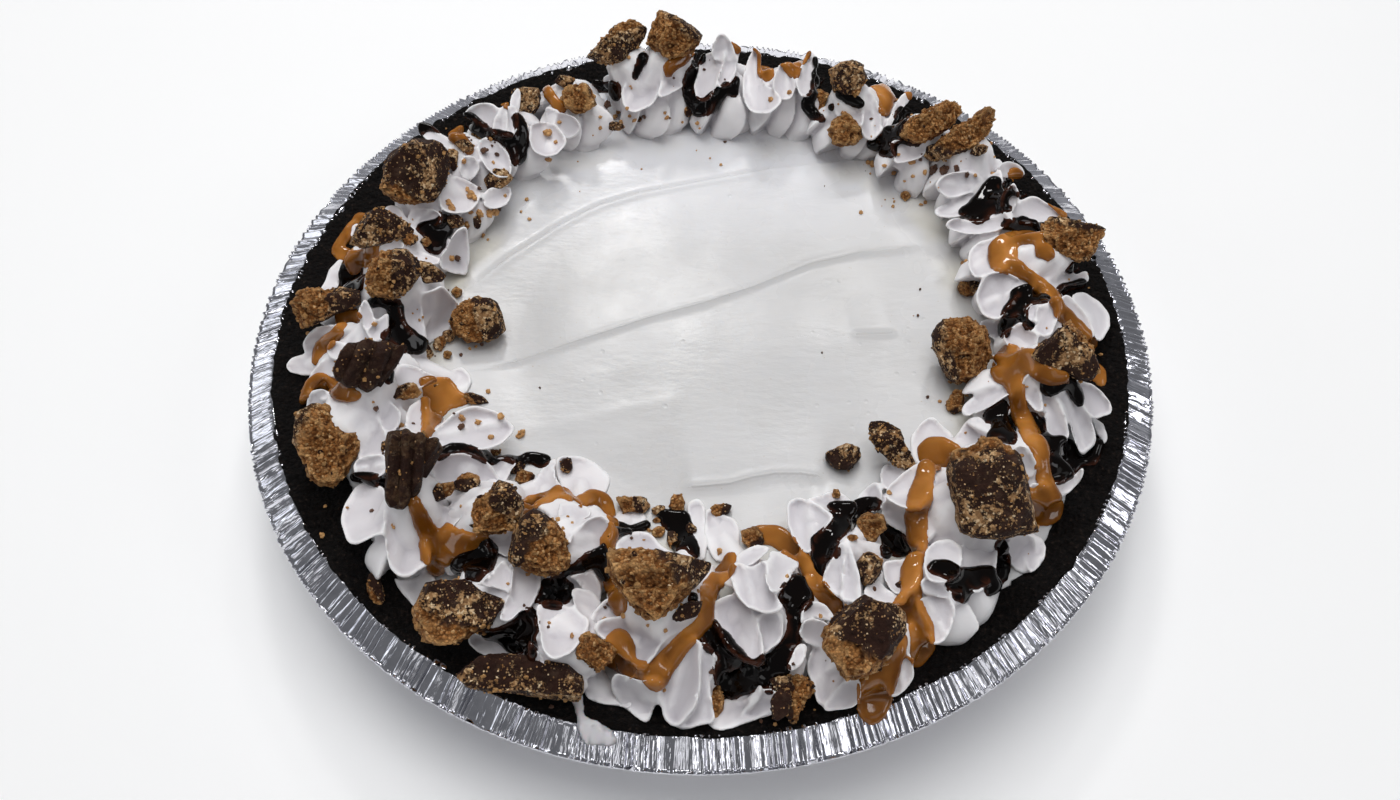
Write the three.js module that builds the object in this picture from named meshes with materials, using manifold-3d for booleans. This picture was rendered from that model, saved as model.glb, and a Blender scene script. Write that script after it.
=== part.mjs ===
// Chocolate peanut butter pie in its crimped foil tin.
// A black cookie-crumb crust lies in the tin, a smooth cream filling lies in the
// crust, star-tip dollops of whipped cream stand in a ring on the filling, and
// broken peanut butter cups lie on and between the dollops.
// Millimetres, +Z up, origin under the middle of the tin's base.
import * as THREE from 'three';
import { mergeVertices } from 'three/addons/utils/BufferGeometryUtils.js';
import Module from 'manifold-3d';

const wasm = await Module();
wasm.setup();

// ---------------------------------------------------------------- dimensions
const GAP = 0.3;               // clearance between touching pieces

const RIM_R = 115;             // outer radius of the tin's flange
const RIM_Z = 28;              // height of the flange's outer edge
const FLANGE_R = 107.6;        // inner edge of the flange
const FLANGE_Z = 31.2;         // height of that inner edge
const BASE_R = 84;             // flat base of the tin
const BASE_FILLET = 2.2;
const WALL_TOP_R = 106.4;      // tin wall just under the flange
const WALL_TOP_Z = 29.4;
const FOIL = 0.5;              // foil gauge
const CRIMPS = 48;             // coarse crimps round the flange
const CRIMP_DEPTH = 0.9;

const CRUST_FLOOR = 7;         // thickness of crumb under the filling
const CRUST_EDGE_R = 95;       // inner edge of the crust's top
const CRUST_EDGE_Z = 28.3;
const CRUST_RIM_R = 105.2;     // crust's top where it meets the foil
const CRUST_RIM_Z = 30.2;

const FILL_MID_Z = 27.3;       // filling in the open middle
const FILL_RING_Z = 28.3;      // filling under the dollops
const RIDGE = 0.8;             // height of the spreader's ridges

const DOLLOP_Z = 28.95;        // underside of the dollops
const DOLLOP_MAX_R = 105;      // nothing of a dollop reaches past this
const DOLLOP_FOOT_R = 98;      // nor past this at its foot
const VALLEY = 0.5;            // depth of the grooves between fins, as a share

// ---------------------------------------------------------------- small tools
const rad = (deg) => (deg * Math.PI) / 180;
const hash = (n) => {
  const s = Math.sin(n * 127.1 + 311.7) * 43758.5453;
  return s - Math.floor(s);
};
const noise = (n) => 2 * hash(n) - 1;
const mix = (a, b, t) => a + (b - a) * t;
const step01 = (a, b, x) => {
  const t = Math.min(1, Math.max(0, (x - a) / (b - a)));
  return t * t * (3 - 2 * t);
};

// merge shared corners and drop the empty triangles of an axis
function weld(geometry) {
  const g = geometry.clone();
  for (const name of Object.keys(g.attributes)) {
    if (name !== 'position') g.deleteAttribute(name);
  }
  const m = mergeVertices(g, 1e-3);
  const p = m.getAttribute('position');
  const src = m.index.array;
  const keep = [];
  for (let i = 0; i < src.length; i += 3) {
    const [a, b, c] = [src[i], src[i + 1], src[i + 2]];
    if (a !== b && b !== c && c !== a) keep.push(a, b, c);
  }
  const out = new THREE.BufferGeometry();
  out.setAttribute('position', new THREE.BufferAttribute(new Float32Array(p.array), 3));
  out.setIndex(keep);
  return out;
}

function toSolid(geometry) {
  const g = weld(geometry);
  return new wasm.Manifold(new wasm.Mesh({
    numProp: 3,
    vertProperties: new Float32Array(g.getAttribute('position').array),
    triVerts: new Uint32Array(g.index.array),
  }));
}

function toGeometry(solid) {
  const m = solid.getMesh();
  const out = new THREE.BufferGeometry();
  out.setAttribute('position', new THREE.BufferAttribute(new Float32Array(m.vertProperties), 3));
  out.setIndex(new THREE.BufferAttribute(new Uint32Array(m.triVerts), 1));
  return out;
}

// lathe a profile of [radius, height] pairs about Z, then move every vertex
function turned(profile, segments, move) {
  const g = new THREE.LatheGeometry(profile.map(([r, z]) => new THREE.Vector2(r, z)), segments);
  g.rotateX(Math.PI / 2);
  const w = weld(g);
  if (move) {
    const p = w.getAttribute('position');
    for (let i = 0; i < p.count; i++) {
      const x = p.getX(i), y = p.getY(i), z = p.getZ(i);
      const [r, h] = move(Math.hypot(x, y), Math.atan2(y, x), z);
      const a = Math.atan2(y, x);
      p.setXYZ(i, r * Math.cos(a), r * Math.sin(a), h);
    }
  }
  return w;
}

const matte = (color, roughness, metalness = 0) =>
  new THREE.MeshStandardMaterial({ color, roughness, metalness });

const pie = new THREE.Group();
function place(name, geometry, material) {
  const mesh = new THREE.Mesh(geometry, material);
  mesh.name = name;
  pie.add(mesh);
  return mesh;
}

// ---------------------------------------------------------------- foil tin
// one closed skin: up the outside, over the flange, and back down the inside
const wallDir = new THREE.Vector2(WALL_TOP_R - (BASE_R + BASE_FILLET), WALL_TOP_Z - BASE_FILLET).normalize();
const inset = (t) => [-wallDir.y * t, wallDir.x * t];      // square to the wall, inwards
const [ix, iz] = inset(FOIL);
const tinProfile = [
  [0, 0],
  [BASE_R, 0],
  [BASE_R + BASE_FILLET, BASE_FILLET],
  [WALL_TOP_R, WALL_TOP_Z],
  [FLANGE_R + 0.4, FLANGE_Z - FOIL],
  [RIM_R - 0.3, RIM_Z - FOIL],
  [RIM_R, RIM_Z],
  [FLANGE_R, FLANGE_Z],
  [WALL_TOP_R + ix, WALL_TOP_Z + iz],
  [BASE_R + BASE_FILLET + ix, BASE_FILLET + FOIL * 0.6],
  [BASE_R - 0.4, FOIL],
  [0, FOIL],
];
const crimp = (a) => 0.5 - 0.5 * Math.cos(CRIMPS * a);     // 0 on a crest, 1 in a fold
const tinShape = (r, a, z) => {
  const out = step01(FLANGE_R - 0.2, RIM_R, r);
  const uneven = 0.75 + 0.25 * Math.sin(5 * a + 0.7) * Math.sin(11 * a);
  return [r - 0.7 * out * crimp(a), z - CRIMP_DEPTH * uneven * out * crimp(a)];
};
place('tin', turned(tinProfile, 2 * CRIMPS, tinShape), matte(0xc4c8d2, 0.3, 1));

// ---------------------------------------------------------------- crumb crust
// lies against the foil all the way; its top edge is worn and uneven
const [cx, cz] = inset(FOIL + GAP + 0.15);
const crustProfile = [
  [0, FOIL + GAP],
  [BASE_R - 1.0, FOIL + GAP],
  [BASE_R + BASE_FILLET + cx, BASE_FILLET + FOIL + GAP],
  [WALL_TOP_R + cx - 0.2, WALL_TOP_Z + cz],
  [CRUST_RIM_R, CRUST_RIM_Z],
  [mix(CRUST_EDGE_R, CRUST_RIM_R, 0.35), CRUST_EDGE_Z + 0.35],
  [CRUST_EDGE_R, CRUST_EDGE_Z],
  [BASE_R - 6, FOIL + CRUST_FLOOR + 3],
  [BASE_R - 11, FOIL + CRUST_FLOOR],
  [0, FOIL + CRUST_FLOOR],
];
const crumble = (a) => 1.1 * Math.sin(3 * a + 1.3) + 0.7 * Math.sin(7 * a) + 0.5 * Math.sin(16 * a + 2);
const crustShape = (r, a, z) => {
  const edge = Math.abs(r - CRUST_EDGE_R) < 0.5 && z > 20 ? 1 : 0;
  return [r + edge * crumble(a), z];
};
place('crust', turned(crustProfile, 52, crustShape), matte(0x120d0c, 0.9));

// ---------------------------------------------------------------- cream filling
// fills the crust to a little under its edge; long curved ridges from a spreader
// cross the open middle
const fillProfile = [
  [0, FOIL + CRUST_FLOOR + GAP],
  [BASE_R - 11.4, FOIL + CRUST_FLOOR + GAP],
  [BASE_R - 6.6, FOIL + CRUST_FLOOR + 3.2],
  [CRUST_EDGE_R - 1.2, FILL_RING_Z - 0.5],
  [74, FILL_RING_Z],
  [60, FILL_RING_Z - 0.3],
  [48, FILL_MID_Z],
  [34, FILL_MID_Z],
  [18, FILL_MID_Z],
  [0, FILL_MID_Z],
];
// a ridge is an arc: centre, radius, height
const RIDGES = [[12, -38, 92, 1.0], [30, -62, 92, 0.9], [18, 24, 66, 0.8]];
const ridge = (x, y) => {
  let h = 0;
  for (const [px, py, pr, k] of RIDGES) {
    const d = Math.hypot(x - px, y - py) - pr;
    h += k * Math.exp(-(d * d) / 30);
  }
  return h;
};
const fillShape = (r, a, z) => {
  const top = z > 20 ? 1 : 0;
  const side = Math.abs(r - (CRUST_EDGE_R - 1.2)) < 0.5 ? 1 : 0;
  const middle = top * (1 - step01(46, 60, r));
  return [r + top * side * crumble(a), z + RIDGE * middle * ridge(r * Math.cos(a), r * Math.sin(a))];
};
place('filling', turned(fillProfile, 52, fillShape), matte(0xf0ebdf, 0.35));

// ---------------------------------------------------------------- broken cups
// [name, x, y, z, width, depth, height, yaw, pitch, roll, corners, peanut share]
// Each is a broken piece of a cup: a slab or a lump with knocked-off corners.
const CUPS = [
  ['cup_a', -23.5, 86, 49.5, 17, 10, 10, -28, 20, 10, 0, 0.5],
  ['cup_b', -7.2, 85.2, 51.9, 16, 12, 13, 24, 25, -12, 1, 0.6],
  ['cup_c', -76, 37, 48, 19, 14, 11, 20, 8, -6, 1, 0.4],
  ['cup_d', -82, 19, 46.5, 14, 8, 7, 32, 10, 12, 0, 0.1],
  ['cup_e', -75.5, 0.5, 49.5, 13, 12, 9, 15, 5, 18, 1, 0.5],
  ['cup_f', -93, -4.5, 40.5, 17, 9, 8, -4, 0, 6, 1, 0.6],
  ['cup_g', -57, 0, 32.6, 13, 12, 8, 38, 5, 8, 1, 0.4],
  ['cup_h', -76.4, -28, 50, 16, 12, 9, -12, 12, -8, 0, 0.1],
  ['cup_i', -85, -43.6, 40, 17, 18, 9, 25, 30, -10, 1, 0.8],
  ['cup_j', -61.5, -57, 50.5, 11, 17, 9, -8, 30, 4, 0, 0.1],
  ['cup_k', -44.2, -63.2, 46.6, 10, 9.5, 8, 50, 12, 18, 1, 0.5],
  ['cup_l', -33, -71.4, 46.4, 13, 12, 10, 12, 10, -14, 1, 0.6],
  ['cup_m', -49.5, -85.5, 37.6, 19, 11, 9, -14, 14, 5, 0, 0.4],
  ['cup_n', -37, -99.5, 35.6, 25, 8, 6.5, 14, 6, 4, 0, 0.1],
  ['cup_o', -8, -83.5, 51.5, 21, 13, 11, -6, 18, 5, 0, 0.7],
  ['cup_p', -20.5, -95, 40.5, 9, 7.5, 6, 30, 10, 0, 1, 0.9],
  ['cup_q', 18.6, -101.4, 34.2, 9.5, 9, 6, 35, 12, 8, 1, 0.5],
  ['cup_r', 32.3, -95, 49.5, 17, 15, 10, 28, 26, -8, 0, 0.5],
  ['cup_s', 44.5, -39.5, 34.2, 8, 15, 4.5, 38, 18, 26, 0, 0.3],
  ['cup_t', 62.5, -59.5, 48.5, 17, 18, 13, -8, 30, -4, 0, 0.3],
  ['cup_u', 63, -12, 37.4, 15, 15, 10, 28, 24, 30, 0, 0.7],
  ['cup_v', 84.8, -22.7, 49.5, 15, 12, 8, 14, 22, 10, 0, 0.2],
  ['cup_w', 94, 14.2, 46.5, 15, 10, 9, -12, 24, 6, 0, 0.8],
  ['cup_x', 60.5, 57, 48.6, 12, 10, 8, 22, 14, 4, 1, 0.9],
  ['cup_y', 73.6, 52, 48.4, 15, 10, 8, 34, 16, 6, 1, 0.9],
  ['cup_z', 41, 71.5, 50, 10, 9.5, 9, 16, 10, 6, 0, 0.3],
];
function cupPiece([, x, y, z, w, d, h, yaw, pitch, roll, lump], index, grow = 0) {
  const g = weld(lump
    ? new THREE.IcosahedronGeometry(0.5, 0)
    : new THREE.BoxGeometry(1, 1, 1, 2, 2, 1));
  const p = g.getAttribute('position');
  for (let i = 0; i < p.count; i++) {
    const v = new THREE.Vector3().fromBufferAttribute(p, i);
    if (lump) v.multiplyScalar(1.12);
    else if (Math.abs(v.x) + Math.abs(v.y) > 0.9) v.multiply(new THREE.Vector3(0.88, 0.88, 1));
    v.x += 0.07 * noise(index * 31 + i * 3);
    v.y += 0.07 * noise(index * 31 + i * 3 + 1);
    v.z += 0.06 * noise(index * 31 + i * 3 + 2);
    if (!lump) v.multiply(new THREE.Vector3(1 - 0.16 * (v.z + 0.5), 1 - 0.16 * (v.z + 0.5), 1));
    v.multiply(new THREE.Vector3(w + 2 * grow, d + 2 * grow, h + 2 * grow));
    p.setXYZ(i, v.x, v.y, v.z);
  }
  const m = new THREE.Matrix4().makeRotationFromEuler(
    new THREE.Euler(rad(pitch), rad(roll), rad(yaw), 'ZYX'));
  m.setPosition(x, y, z);
  g.applyMatrix4(m);
  return g;
}

// ---------------------------------------------------------------- cream dollops
// [x, y, radius, height, fins, direction of the first fin, twist]
const DOLLOPS = [
  [81.6, 13.5, 16, 18.5, 8, 195, 26],
  [86, -3.5, 15.5, 18.0, 8, 175, 30],
  [79.5, -24, 16.5, 18.5, 8, 215, 34],
  [74.5, -44, 17, 18.0, 7, 300, 28],
  [59.5, -58, 18, 17.5, 8, 130, 24],
  [51, -76.5, 15, 17.0, 7, 265, 30],
  [35, -89, 16, 18.0, 7, 235, 26],
  [31.5, -69.5, 15.5, 17.5, 8, 115, 22],
  [14.5, -81, 18, 19.0, 8, 245, 36],
  [-8, -82, 19, 18.0, 8, 262, 30],
  [-27, -67, 16, 17.0, 7, 80, 26],
  [-29, -88.5, 14.5, 16.5, 7, 250, 30],
  [-43.5, -77.5, 14, 17.0, 7, 60, 24],
  [-50, -59.5, 15, 17.5, 7, 62, 28],
  [-65.5, -62, 14.5, 17.0, 7, 205, 24],
  [-63.5, -43.5, 16, 18.0, 7, 12, 26],
  [-79.5, -31, 15.5, 18.0, 8, 170, 28],
  [-80.5, -13, 15.5, 19.0, 8, 205, 26],
  [-78.5, 5, 17, 17.5, 8, 185, 24],
  [-79.5, 21.5, 16, 17.0, 8, 150, 28],
  [-72, 37, 17, 17.5, 7, 330, 26],
  [-66, 51.5, 16, 18.0, 7, 140, 30],
  [-55, 63.5, 16, 18.5, 7, 300, 26],
  [-38, 75.5, 16.5, 18.0, 8, 290, 28],
  [-15, 83, 17, 18.0, 8, 255, 26],
  [6, 83, 16, 19.5, 8, 265, 24],
  [24, 81, 16, 19.0, 8, 250, 26],
  [45, 71.5, 16.5, 18.5, 8, 240, 28],
  [62, 59.5, 16, 18.0, 7, 225, 26],
  [73, 46.5, 15, 17.5, 8, 200, 26],
  [79.5, 30, 16.5, 18.5, 8, 205, 30],
];
// height share, radius share
const DOLLOP_PROFILE = [[0, 0.86], [0.13, 1.0], [0.4, 0.88], [0.68, 0.58], [0.9, 0.24]];

// how far a dollop may reach in one direction before it meets a neighbour's half
function reach(i, x, y, a) {
  const [x0, y0, r0] = DOLLOPS[i];
  let limit = Infinity;
  DOLLOPS.forEach(([x1, y1, r1], j) => {
    if (j === i) return;
    const d = Math.hypot(x1 - x0, y1 - y0);
    if (d > r0 + r1 + 8) return;
    const nx = (x1 - x0) / d, ny = (y1 - y0) / d;
    const along = nx * Math.cos(a) + ny * Math.sin(a);
    if (along <= 0.02) return;
    const face = (d * r0) / (r0 + r1) - GAP / 2 - ((x - x0) * nx + (y - y0) * ny);
    limit = Math.min(limit, face / along);
  });
  return limit;
}
function reachOut(x, y, a, limit) {
  const b = x * Math.cos(a) + y * Math.sin(a);
  return -b + Math.sqrt(Math.max(0, b * b - (x * x + y * y) + limit * limit));
}
function dollop(i) {
  const [x0, y0, r0, h0, fins, first, twist] = DOLLOPS[i];
  const profile = [[0, 0], ...DOLLOP_PROFILE.map(([t, k]) => [k * r0, t * h0]), [0, h0]];
  const g = new THREE.LatheGeometry(profile.map(([r, z]) => new THREE.Vector2(r, z)), 2 * fins);
  g.rotateX(Math.PI / 2);
  const w = weld(g);
  const p = w.getAttribute('position');
  const lean = [1.6 * noise(i + 0.3), 1.6 * noise(i + 0.7)];
  const start = Math.atan2(p.getY(1), p.getX(1));
  for (let k = 0; k < p.count; k++) {
    const t = p.getZ(k) / h0;
    let r = Math.hypot(p.getX(k), p.getY(k));
    const turn = Math.atan2(p.getY(k), p.getX(k)) - start;
    const n = Math.round((turn / (2 * Math.PI)) * 2 * fins);
    const x = x0 + lean[0] * t * t, y = y0 + lean[1] * t * t;
    if (r > 1e-3) {
      const odd = Math.abs(n % 2);
      const fin = (n - odd) / 2;
      const uneven = 1 + 0.08 * noise(i * 17 + ((fin + 2 * fins) % fins));
      r *= odd ? 1 - VALLEY * step01(0, 0.12, t + 0.06) * (1 - 0.3 * t) : uneven;
      const a = rad(first) + (n * Math.PI) / fins + rad(twist) * t;
      r = Math.min(r, reach(i, x, y, a), reachOut(x, y, a, t < 0.05 ? DOLLOP_FOOT_R : DOLLOP_MAX_R));
      p.setXYZ(k, x + r * Math.cos(a), y + r * Math.sin(a), DOLLOP_Z + p.getZ(k));
    } else {
      p.setXYZ(k, x, y, DOLLOP_Z + p.getZ(k));
    }
  }
  return w;
}

// the cups press into the cream, so each dollop is hollowed where a cup sits
const cupSolids = CUPS.map((c, i) => toSolid(cupPiece(c, i)));
const nests = CUPS.map((c, i) => toSolid(cupPiece(c, i, GAP + 0.05)));
const cream = matte(0xf7f5f6, 0.4);
DOLLOPS.forEach((d, i) => {
  let solid = toSolid(dollop(i));
  CUPS.forEach((c, j) => {
    if (Math.hypot(c[1] - d[0], c[2] - d[1]) < d[2] + Math.hypot(c[4], c[5]) / 2 + 2) {
      solid = solid.subtract(nests[j]);
    }
  });
  const parts = solid.decompose().sort((a, b) => b.volume() - a.volume());
  place(`dollop_${String(i + 1).padStart(2, '0')}`, toGeometry(parts[0]), cream.clone());
});
CUPS.forEach((c, i) => {
  place(c[0], toGeometry(cupSolids[i]), matte(c[11] > 0.45 ? 0x9a6a3c : 0x3a2620, 0.75));
});

export default pie;
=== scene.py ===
import math
import time

import bmesh
import bpy
import numpy as np
from mathutils import Euler, Matrix, Vector
from mathutils.bvhtree import BVHTree
from mathutils.kdtree import KDTree


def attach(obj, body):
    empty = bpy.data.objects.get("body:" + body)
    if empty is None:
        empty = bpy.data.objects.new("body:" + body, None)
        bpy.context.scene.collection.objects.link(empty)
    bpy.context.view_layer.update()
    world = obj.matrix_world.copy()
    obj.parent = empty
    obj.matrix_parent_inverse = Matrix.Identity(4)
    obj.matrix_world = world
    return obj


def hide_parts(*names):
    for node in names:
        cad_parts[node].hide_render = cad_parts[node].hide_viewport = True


T0 = time.time()
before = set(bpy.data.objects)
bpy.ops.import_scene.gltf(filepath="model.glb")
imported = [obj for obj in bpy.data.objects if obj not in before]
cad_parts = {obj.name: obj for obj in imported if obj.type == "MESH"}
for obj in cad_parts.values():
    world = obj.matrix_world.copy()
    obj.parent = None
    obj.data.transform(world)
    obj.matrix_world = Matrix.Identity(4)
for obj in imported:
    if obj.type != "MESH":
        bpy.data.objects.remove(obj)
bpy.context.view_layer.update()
RNG = np.random.default_rng(7)
MM = 0.001

# ------------------------------------------------------------------ noise
def hash3(ix, iy, iz, seed):
    n = (ix * 374761393 + iy * 668265263 + iz * 2147483647 + seed * 1274126177) & 0xFFFFFFFF
    n = ((n ^ (n >> 13)) * 1274126177) & 0xFFFFFFFF
    n = ((n ^ (n >> 16)) * 668265263) & 0xFFFFFFFF
    return ((n ^ (n >> 15)) & 0xFFFFFF).astype(float) / 0xFFFFFF


def vnoise(P, size, seed=0):
    """smooth value noise from -1 to 1 at points P (mm), with features of that size (mm)"""
    Q = np.asarray(P, float) / size + 1000.0
    i = np.floor(Q).astype(np.int64)
    f = Q - i
    f = f * f * f * (f * (f * 6 - 15) + 10)
    out = 0
    for dx in (0, 1):
        wx = f[:, 0] if dx else 1 - f[:, 0]
        for dy in (0, 1):
            wy = f[:, 1] if dy else 1 - f[:, 1]
            for dz in (0, 1):
                wz = f[:, 2] if dz else 1 - f[:, 2]
                out = out + wx * wy * wz * hash3(i[:, 0] + dx, i[:, 1] + dy, i[:, 2] + dz, seed)
    return out * 2 - 1


def fbm(P, size, octaves=3, seed=0, gain=0.5):
    a, s, out, tot = 1.0, size, 0, 0
    for k in range(octaves):
        out = out + a * vnoise(P, s, seed + 17 * k)
        tot += a
        a *= gain
        s *= 0.5
    return out / tot


def cells(P, size, seed=0):
    """distance to the nearest of one random point a cell, 0 at the point and about 1 between them"""
    Q = np.asarray(P, float) / size + 1000.0
    i = np.floor(Q).astype(np.int64)
    best = np.full(len(Q), 9.0)
    for dx in (-1, 0, 1):
        for dy in (-1, 0, 1):
            for dz in (-1, 0, 1):
                c = i + np.array([dx, dy, dz])
                f = np.stack([hash3(c[:, 0], c[:, 1], c[:, 2], seed + k) for k in (0, 101, 202)], 1)
                best = np.minimum(best, ((c + f - Q) ** 2).sum(1))
    return np.sqrt(best)


def step01(a, b, x):
    t = np.clip((np.asarray(x, float) - a) / (b - a), 0, 1)
    return t * t * (3 - 2 * t)


# ------------------------------------------------------------------ meshes
def grid_faces(rows, cols, wrap_c=True, wrap_r=False, start=0, flip=False):
    r = np.arange(rows if wrap_r else rows - 1)
    c = np.arange(cols if wrap_c else cols - 1)
    R, C = np.meshgrid(r, c, indexing="ij")
    R2, C2 = (R + 1) % rows, (C + 1) % cols
    f = np.stack([R * cols + C, R * cols + C2, R2 * cols + C2, R2 * cols + C], -1).reshape(-1, 4) + start
    return f[:, ::-1] if flip else f


def make(name, V, faces, smooth=True, attrs=None):
    """V in mm; faces is a list of arrays with 3 or 4 columns"""
    faces = [np.asarray(f) for f in (faces if isinstance(faces, list) else [faces]) if len(f)]
    me = bpy.data.meshes.new(name)
    V = np.asarray(V, float) * MM
    loops = np.concatenate([f.reshape(-1) for f in faces]).astype(np.int32)
    counts = np.concatenate([np.full(len(f), f.shape[1]) for f in faces]).astype(np.int32)
    me.vertices.add(len(V))
    me.vertices.foreach_set("co", V.astype(np.float32).reshape(-1))
    me.loops.add(len(loops))
    me.loops.foreach_set("vertex_index", loops)
    me.polygons.add(len(counts))
    me.polygons.foreach_set("loop_start", np.concatenate([[0], np.cumsum(counts)[:-1]]).astype(np.int32))
    if hasattr(me.polygons[0], "loop_total"):
        try:
            me.polygons.foreach_set("loop_total", counts)
        except Exception:
            pass
    me.update(calc_edges=True)
    me.validate()
    me.polygons.foreach_set("use_smooth", np.full(len(me.polygons), smooth))
    for k, v in (attrs or {}).items():
        a = me.attributes.new(k, "FLOAT", "POINT")
        a.data.foreach_set("value", np.asarray(v, np.float32))
    ob = bpy.data.objects.new(name, me)
    bpy.context.scene.collection.objects.link(ob)
    return ob


def finish_piece(ob, material, nodes=()):
    ob.data.materials.clear()
    ob.data.materials.append(material)
    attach(ob, "root")
    if nodes:
        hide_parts(*nodes)
    return ob


def hollow(me, times, span):
    """attribute hollow: 1 where a point lies span mm under the mesh's own smoothed skin, 0 where over it, 0.5 level;
    the materials paint shade by it where it is high, and the cups also paint highlights where it is low
    """
    n = len(me.vertices)
    co, no = np.empty(n * 3, np.float32), np.empty(n * 3, np.float32)
    me.vertices.foreach_get("co", co)
    me.vertices.foreach_get("normal", no)
    co, no = co.reshape(-1, 3).astype(float) * 1000, no.reshape(-1, 3).astype(float)
    e = np.empty(len(me.edges) * 2, np.int32)
    me.edges.foreach_get("vertices", e)
    e = e.reshape(-1, 2)
    src, dst = np.concatenate([e[:, 0], e[:, 1]]), np.concatenate([e[:, 1], e[:, 0]])
    deg = np.maximum(np.bincount(dst, minlength=n), 1)
    sm = co.copy()
    for _ in range(times):
        avg = np.stack([np.bincount(dst, sm[src, c], n) for c in range(3)], 1) / deg[:, None]
        sm = sm + 0.5 * (avg - sm)
    d = ((sm - co) * no).sum(1)
    at = me.attributes.new("hollow", "FLOAT", "POINT")
    at.data.foreach_set("value", np.clip(0.5 + 0.5 * d / span, 0, 1).astype(np.float32))


def ico(sub):
    """unit icosphere as (vertices, triangles)"""
    t = (1 + 5 ** 0.5) / 2
    v = [(-1, t, 0), (1, t, 0), (-1, -t, 0), (1, -t, 0), (0, -1, t), (0, 1, t), (0, -1, -t), (0, 1, -t),
         (t, 0, -1), (t, 0, 1), (-t, 0, -1), (-t, 0, 1)]
    f = [(0, 11, 5), (0, 5, 1), (0, 1, 7), (0, 7, 10), (0, 10, 11), (1, 5, 9), (5, 11, 4), (11, 10, 2), (10, 7, 6),
         (7, 1, 8), (3, 9, 4), (3, 4, 2), (3, 2, 6), (3, 6, 8), (3, 8, 9), (4, 9, 5), (2, 4, 11), (6, 2, 10),
         (8, 6, 7), (9, 8, 1)]
    V = [np.array(p, float) / np.linalg.norm(p) for p in v]
    F = f
    for _ in range(sub):
        cache, G = {}, []

        def mid(a, b):
            k = (min(a, b), max(a, b))
            if k not in cache:
                m = V[a] + V[b]
                V.append(m / np.linalg.norm(m))
                cache[k] = len(V) - 1
            return cache[k]
        for a, b, c in F:
            ab, bc, ca = mid(a, b), mid(b, c), mid(c, a)
            G += [(a, ab, ca), (b, bc, ab), (c, ca, bc), (ab, bc, ca)]
        F = G
    return np.array(V), np.array(F)


ICO = {k: ico(k) for k in (0, 1, 2, 3, 5)}


# ------------------------------------------------------------------ materials
def new_material(name):
    m = bpy.data.materials.new(name)
    m.use_nodes = True
    nt = m.node_tree
    return m, nt, nt.nodes["Principled BSDF"], nt.nodes.new("ShaderNodeTexCoord").outputs["Object"]


def noise_node(nt, vec, scale, detail=3.0, rough=0.5):
    n = nt.nodes.new("ShaderNodeTexNoise")
    n.inputs["Scale"].default_value = scale
    n.inputs["Detail"].default_value = detail
    n.inputs["Roughness"].default_value = rough
    nt.links.new(vec, n.inputs["Vector"])
    return n.outputs["Fac"]


def ramp_node(nt, fac, stops):
    r = nt.nodes.new("ShaderNodeValToRGB")
    e = r.color_ramp.elements
    while len(e) < len(stops):
        e.new(0.5)
    for el, (p, c) in zip(e, stops):
        el.position = p
        el.color = (*c, 1) if len(c) == 3 else c
    nt.links.new(fac, r.inputs["Fac"])
    return r.outputs["Color"]


def mix_node(nt, fac, a, b, kind="MIX"):
    m = nt.nodes.new("ShaderNodeMix")
    m.data_type = "RGBA"
    m.blend_type = kind
    for sock, val in ((m.inputs["Factor"], fac), (m.inputs[6], a), (m.inputs[7], b)):
        if isinstance(val, (int, float)):
            sock.default_value = val
        elif isinstance(val, tuple):
            sock.default_value = (*val, 1)
        else:
            nt.links.new(val, sock)
    return m.outputs[2]


def map_node(nt, fac, lo, hi, a=0.0, b=1.0):
    m = nt.nodes.new("ShaderNodeMapRange")
    m.inputs["From Min"].default_value = a
    m.inputs["From Max"].default_value = b
    m.inputs["To Min"].default_value = lo
    m.inputs["To Max"].default_value = hi
    nt.links.new(fac, m.inputs["Value"])
    return m.outputs["Result"]


def bump_node(nt, height, strength, distance):
    b = nt.nodes.new("ShaderNodeBump")
    b.inputs["Strength"].default_value = strength
    b.inputs["Distance"].default_value = distance
    nt.links.new(height, b.inputs["Height"])
    return b.outputs["Normal"]


def attr_node(nt, name):
    a = nt.nodes.new("ShaderNodeAttribute")
    a.attribute_name = name
    return a.outputs["Fac"]


def voronoi(nt, vec, scale):
    v = nt.nodes.new("ShaderNodeTexVoronoi")
    v.inputs["Scale"].default_value = scale
    nt.links.new(vec, v.inputs["Vector"])
    sep = nt.nodes.new("ShaderNodeSeparateColor")
    nt.links.new(v.outputs["Color"], sep.inputs[0])
    return v.outputs["Distance"], sep.outputs[0], sep.outputs[1]


def math_node(nt, op, a, b, c=None):
    m = nt.nodes.new("ShaderNodeMath")
    m.operation = op
    for sock, val in zip(m.inputs, (a, b, c)):
        if val is None:
            continue
        if isinstance(val, (int, float)):
            sock.default_value = val
        else:
            nt.links.new(val, sock)
    return m.outputs[0]


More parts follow.
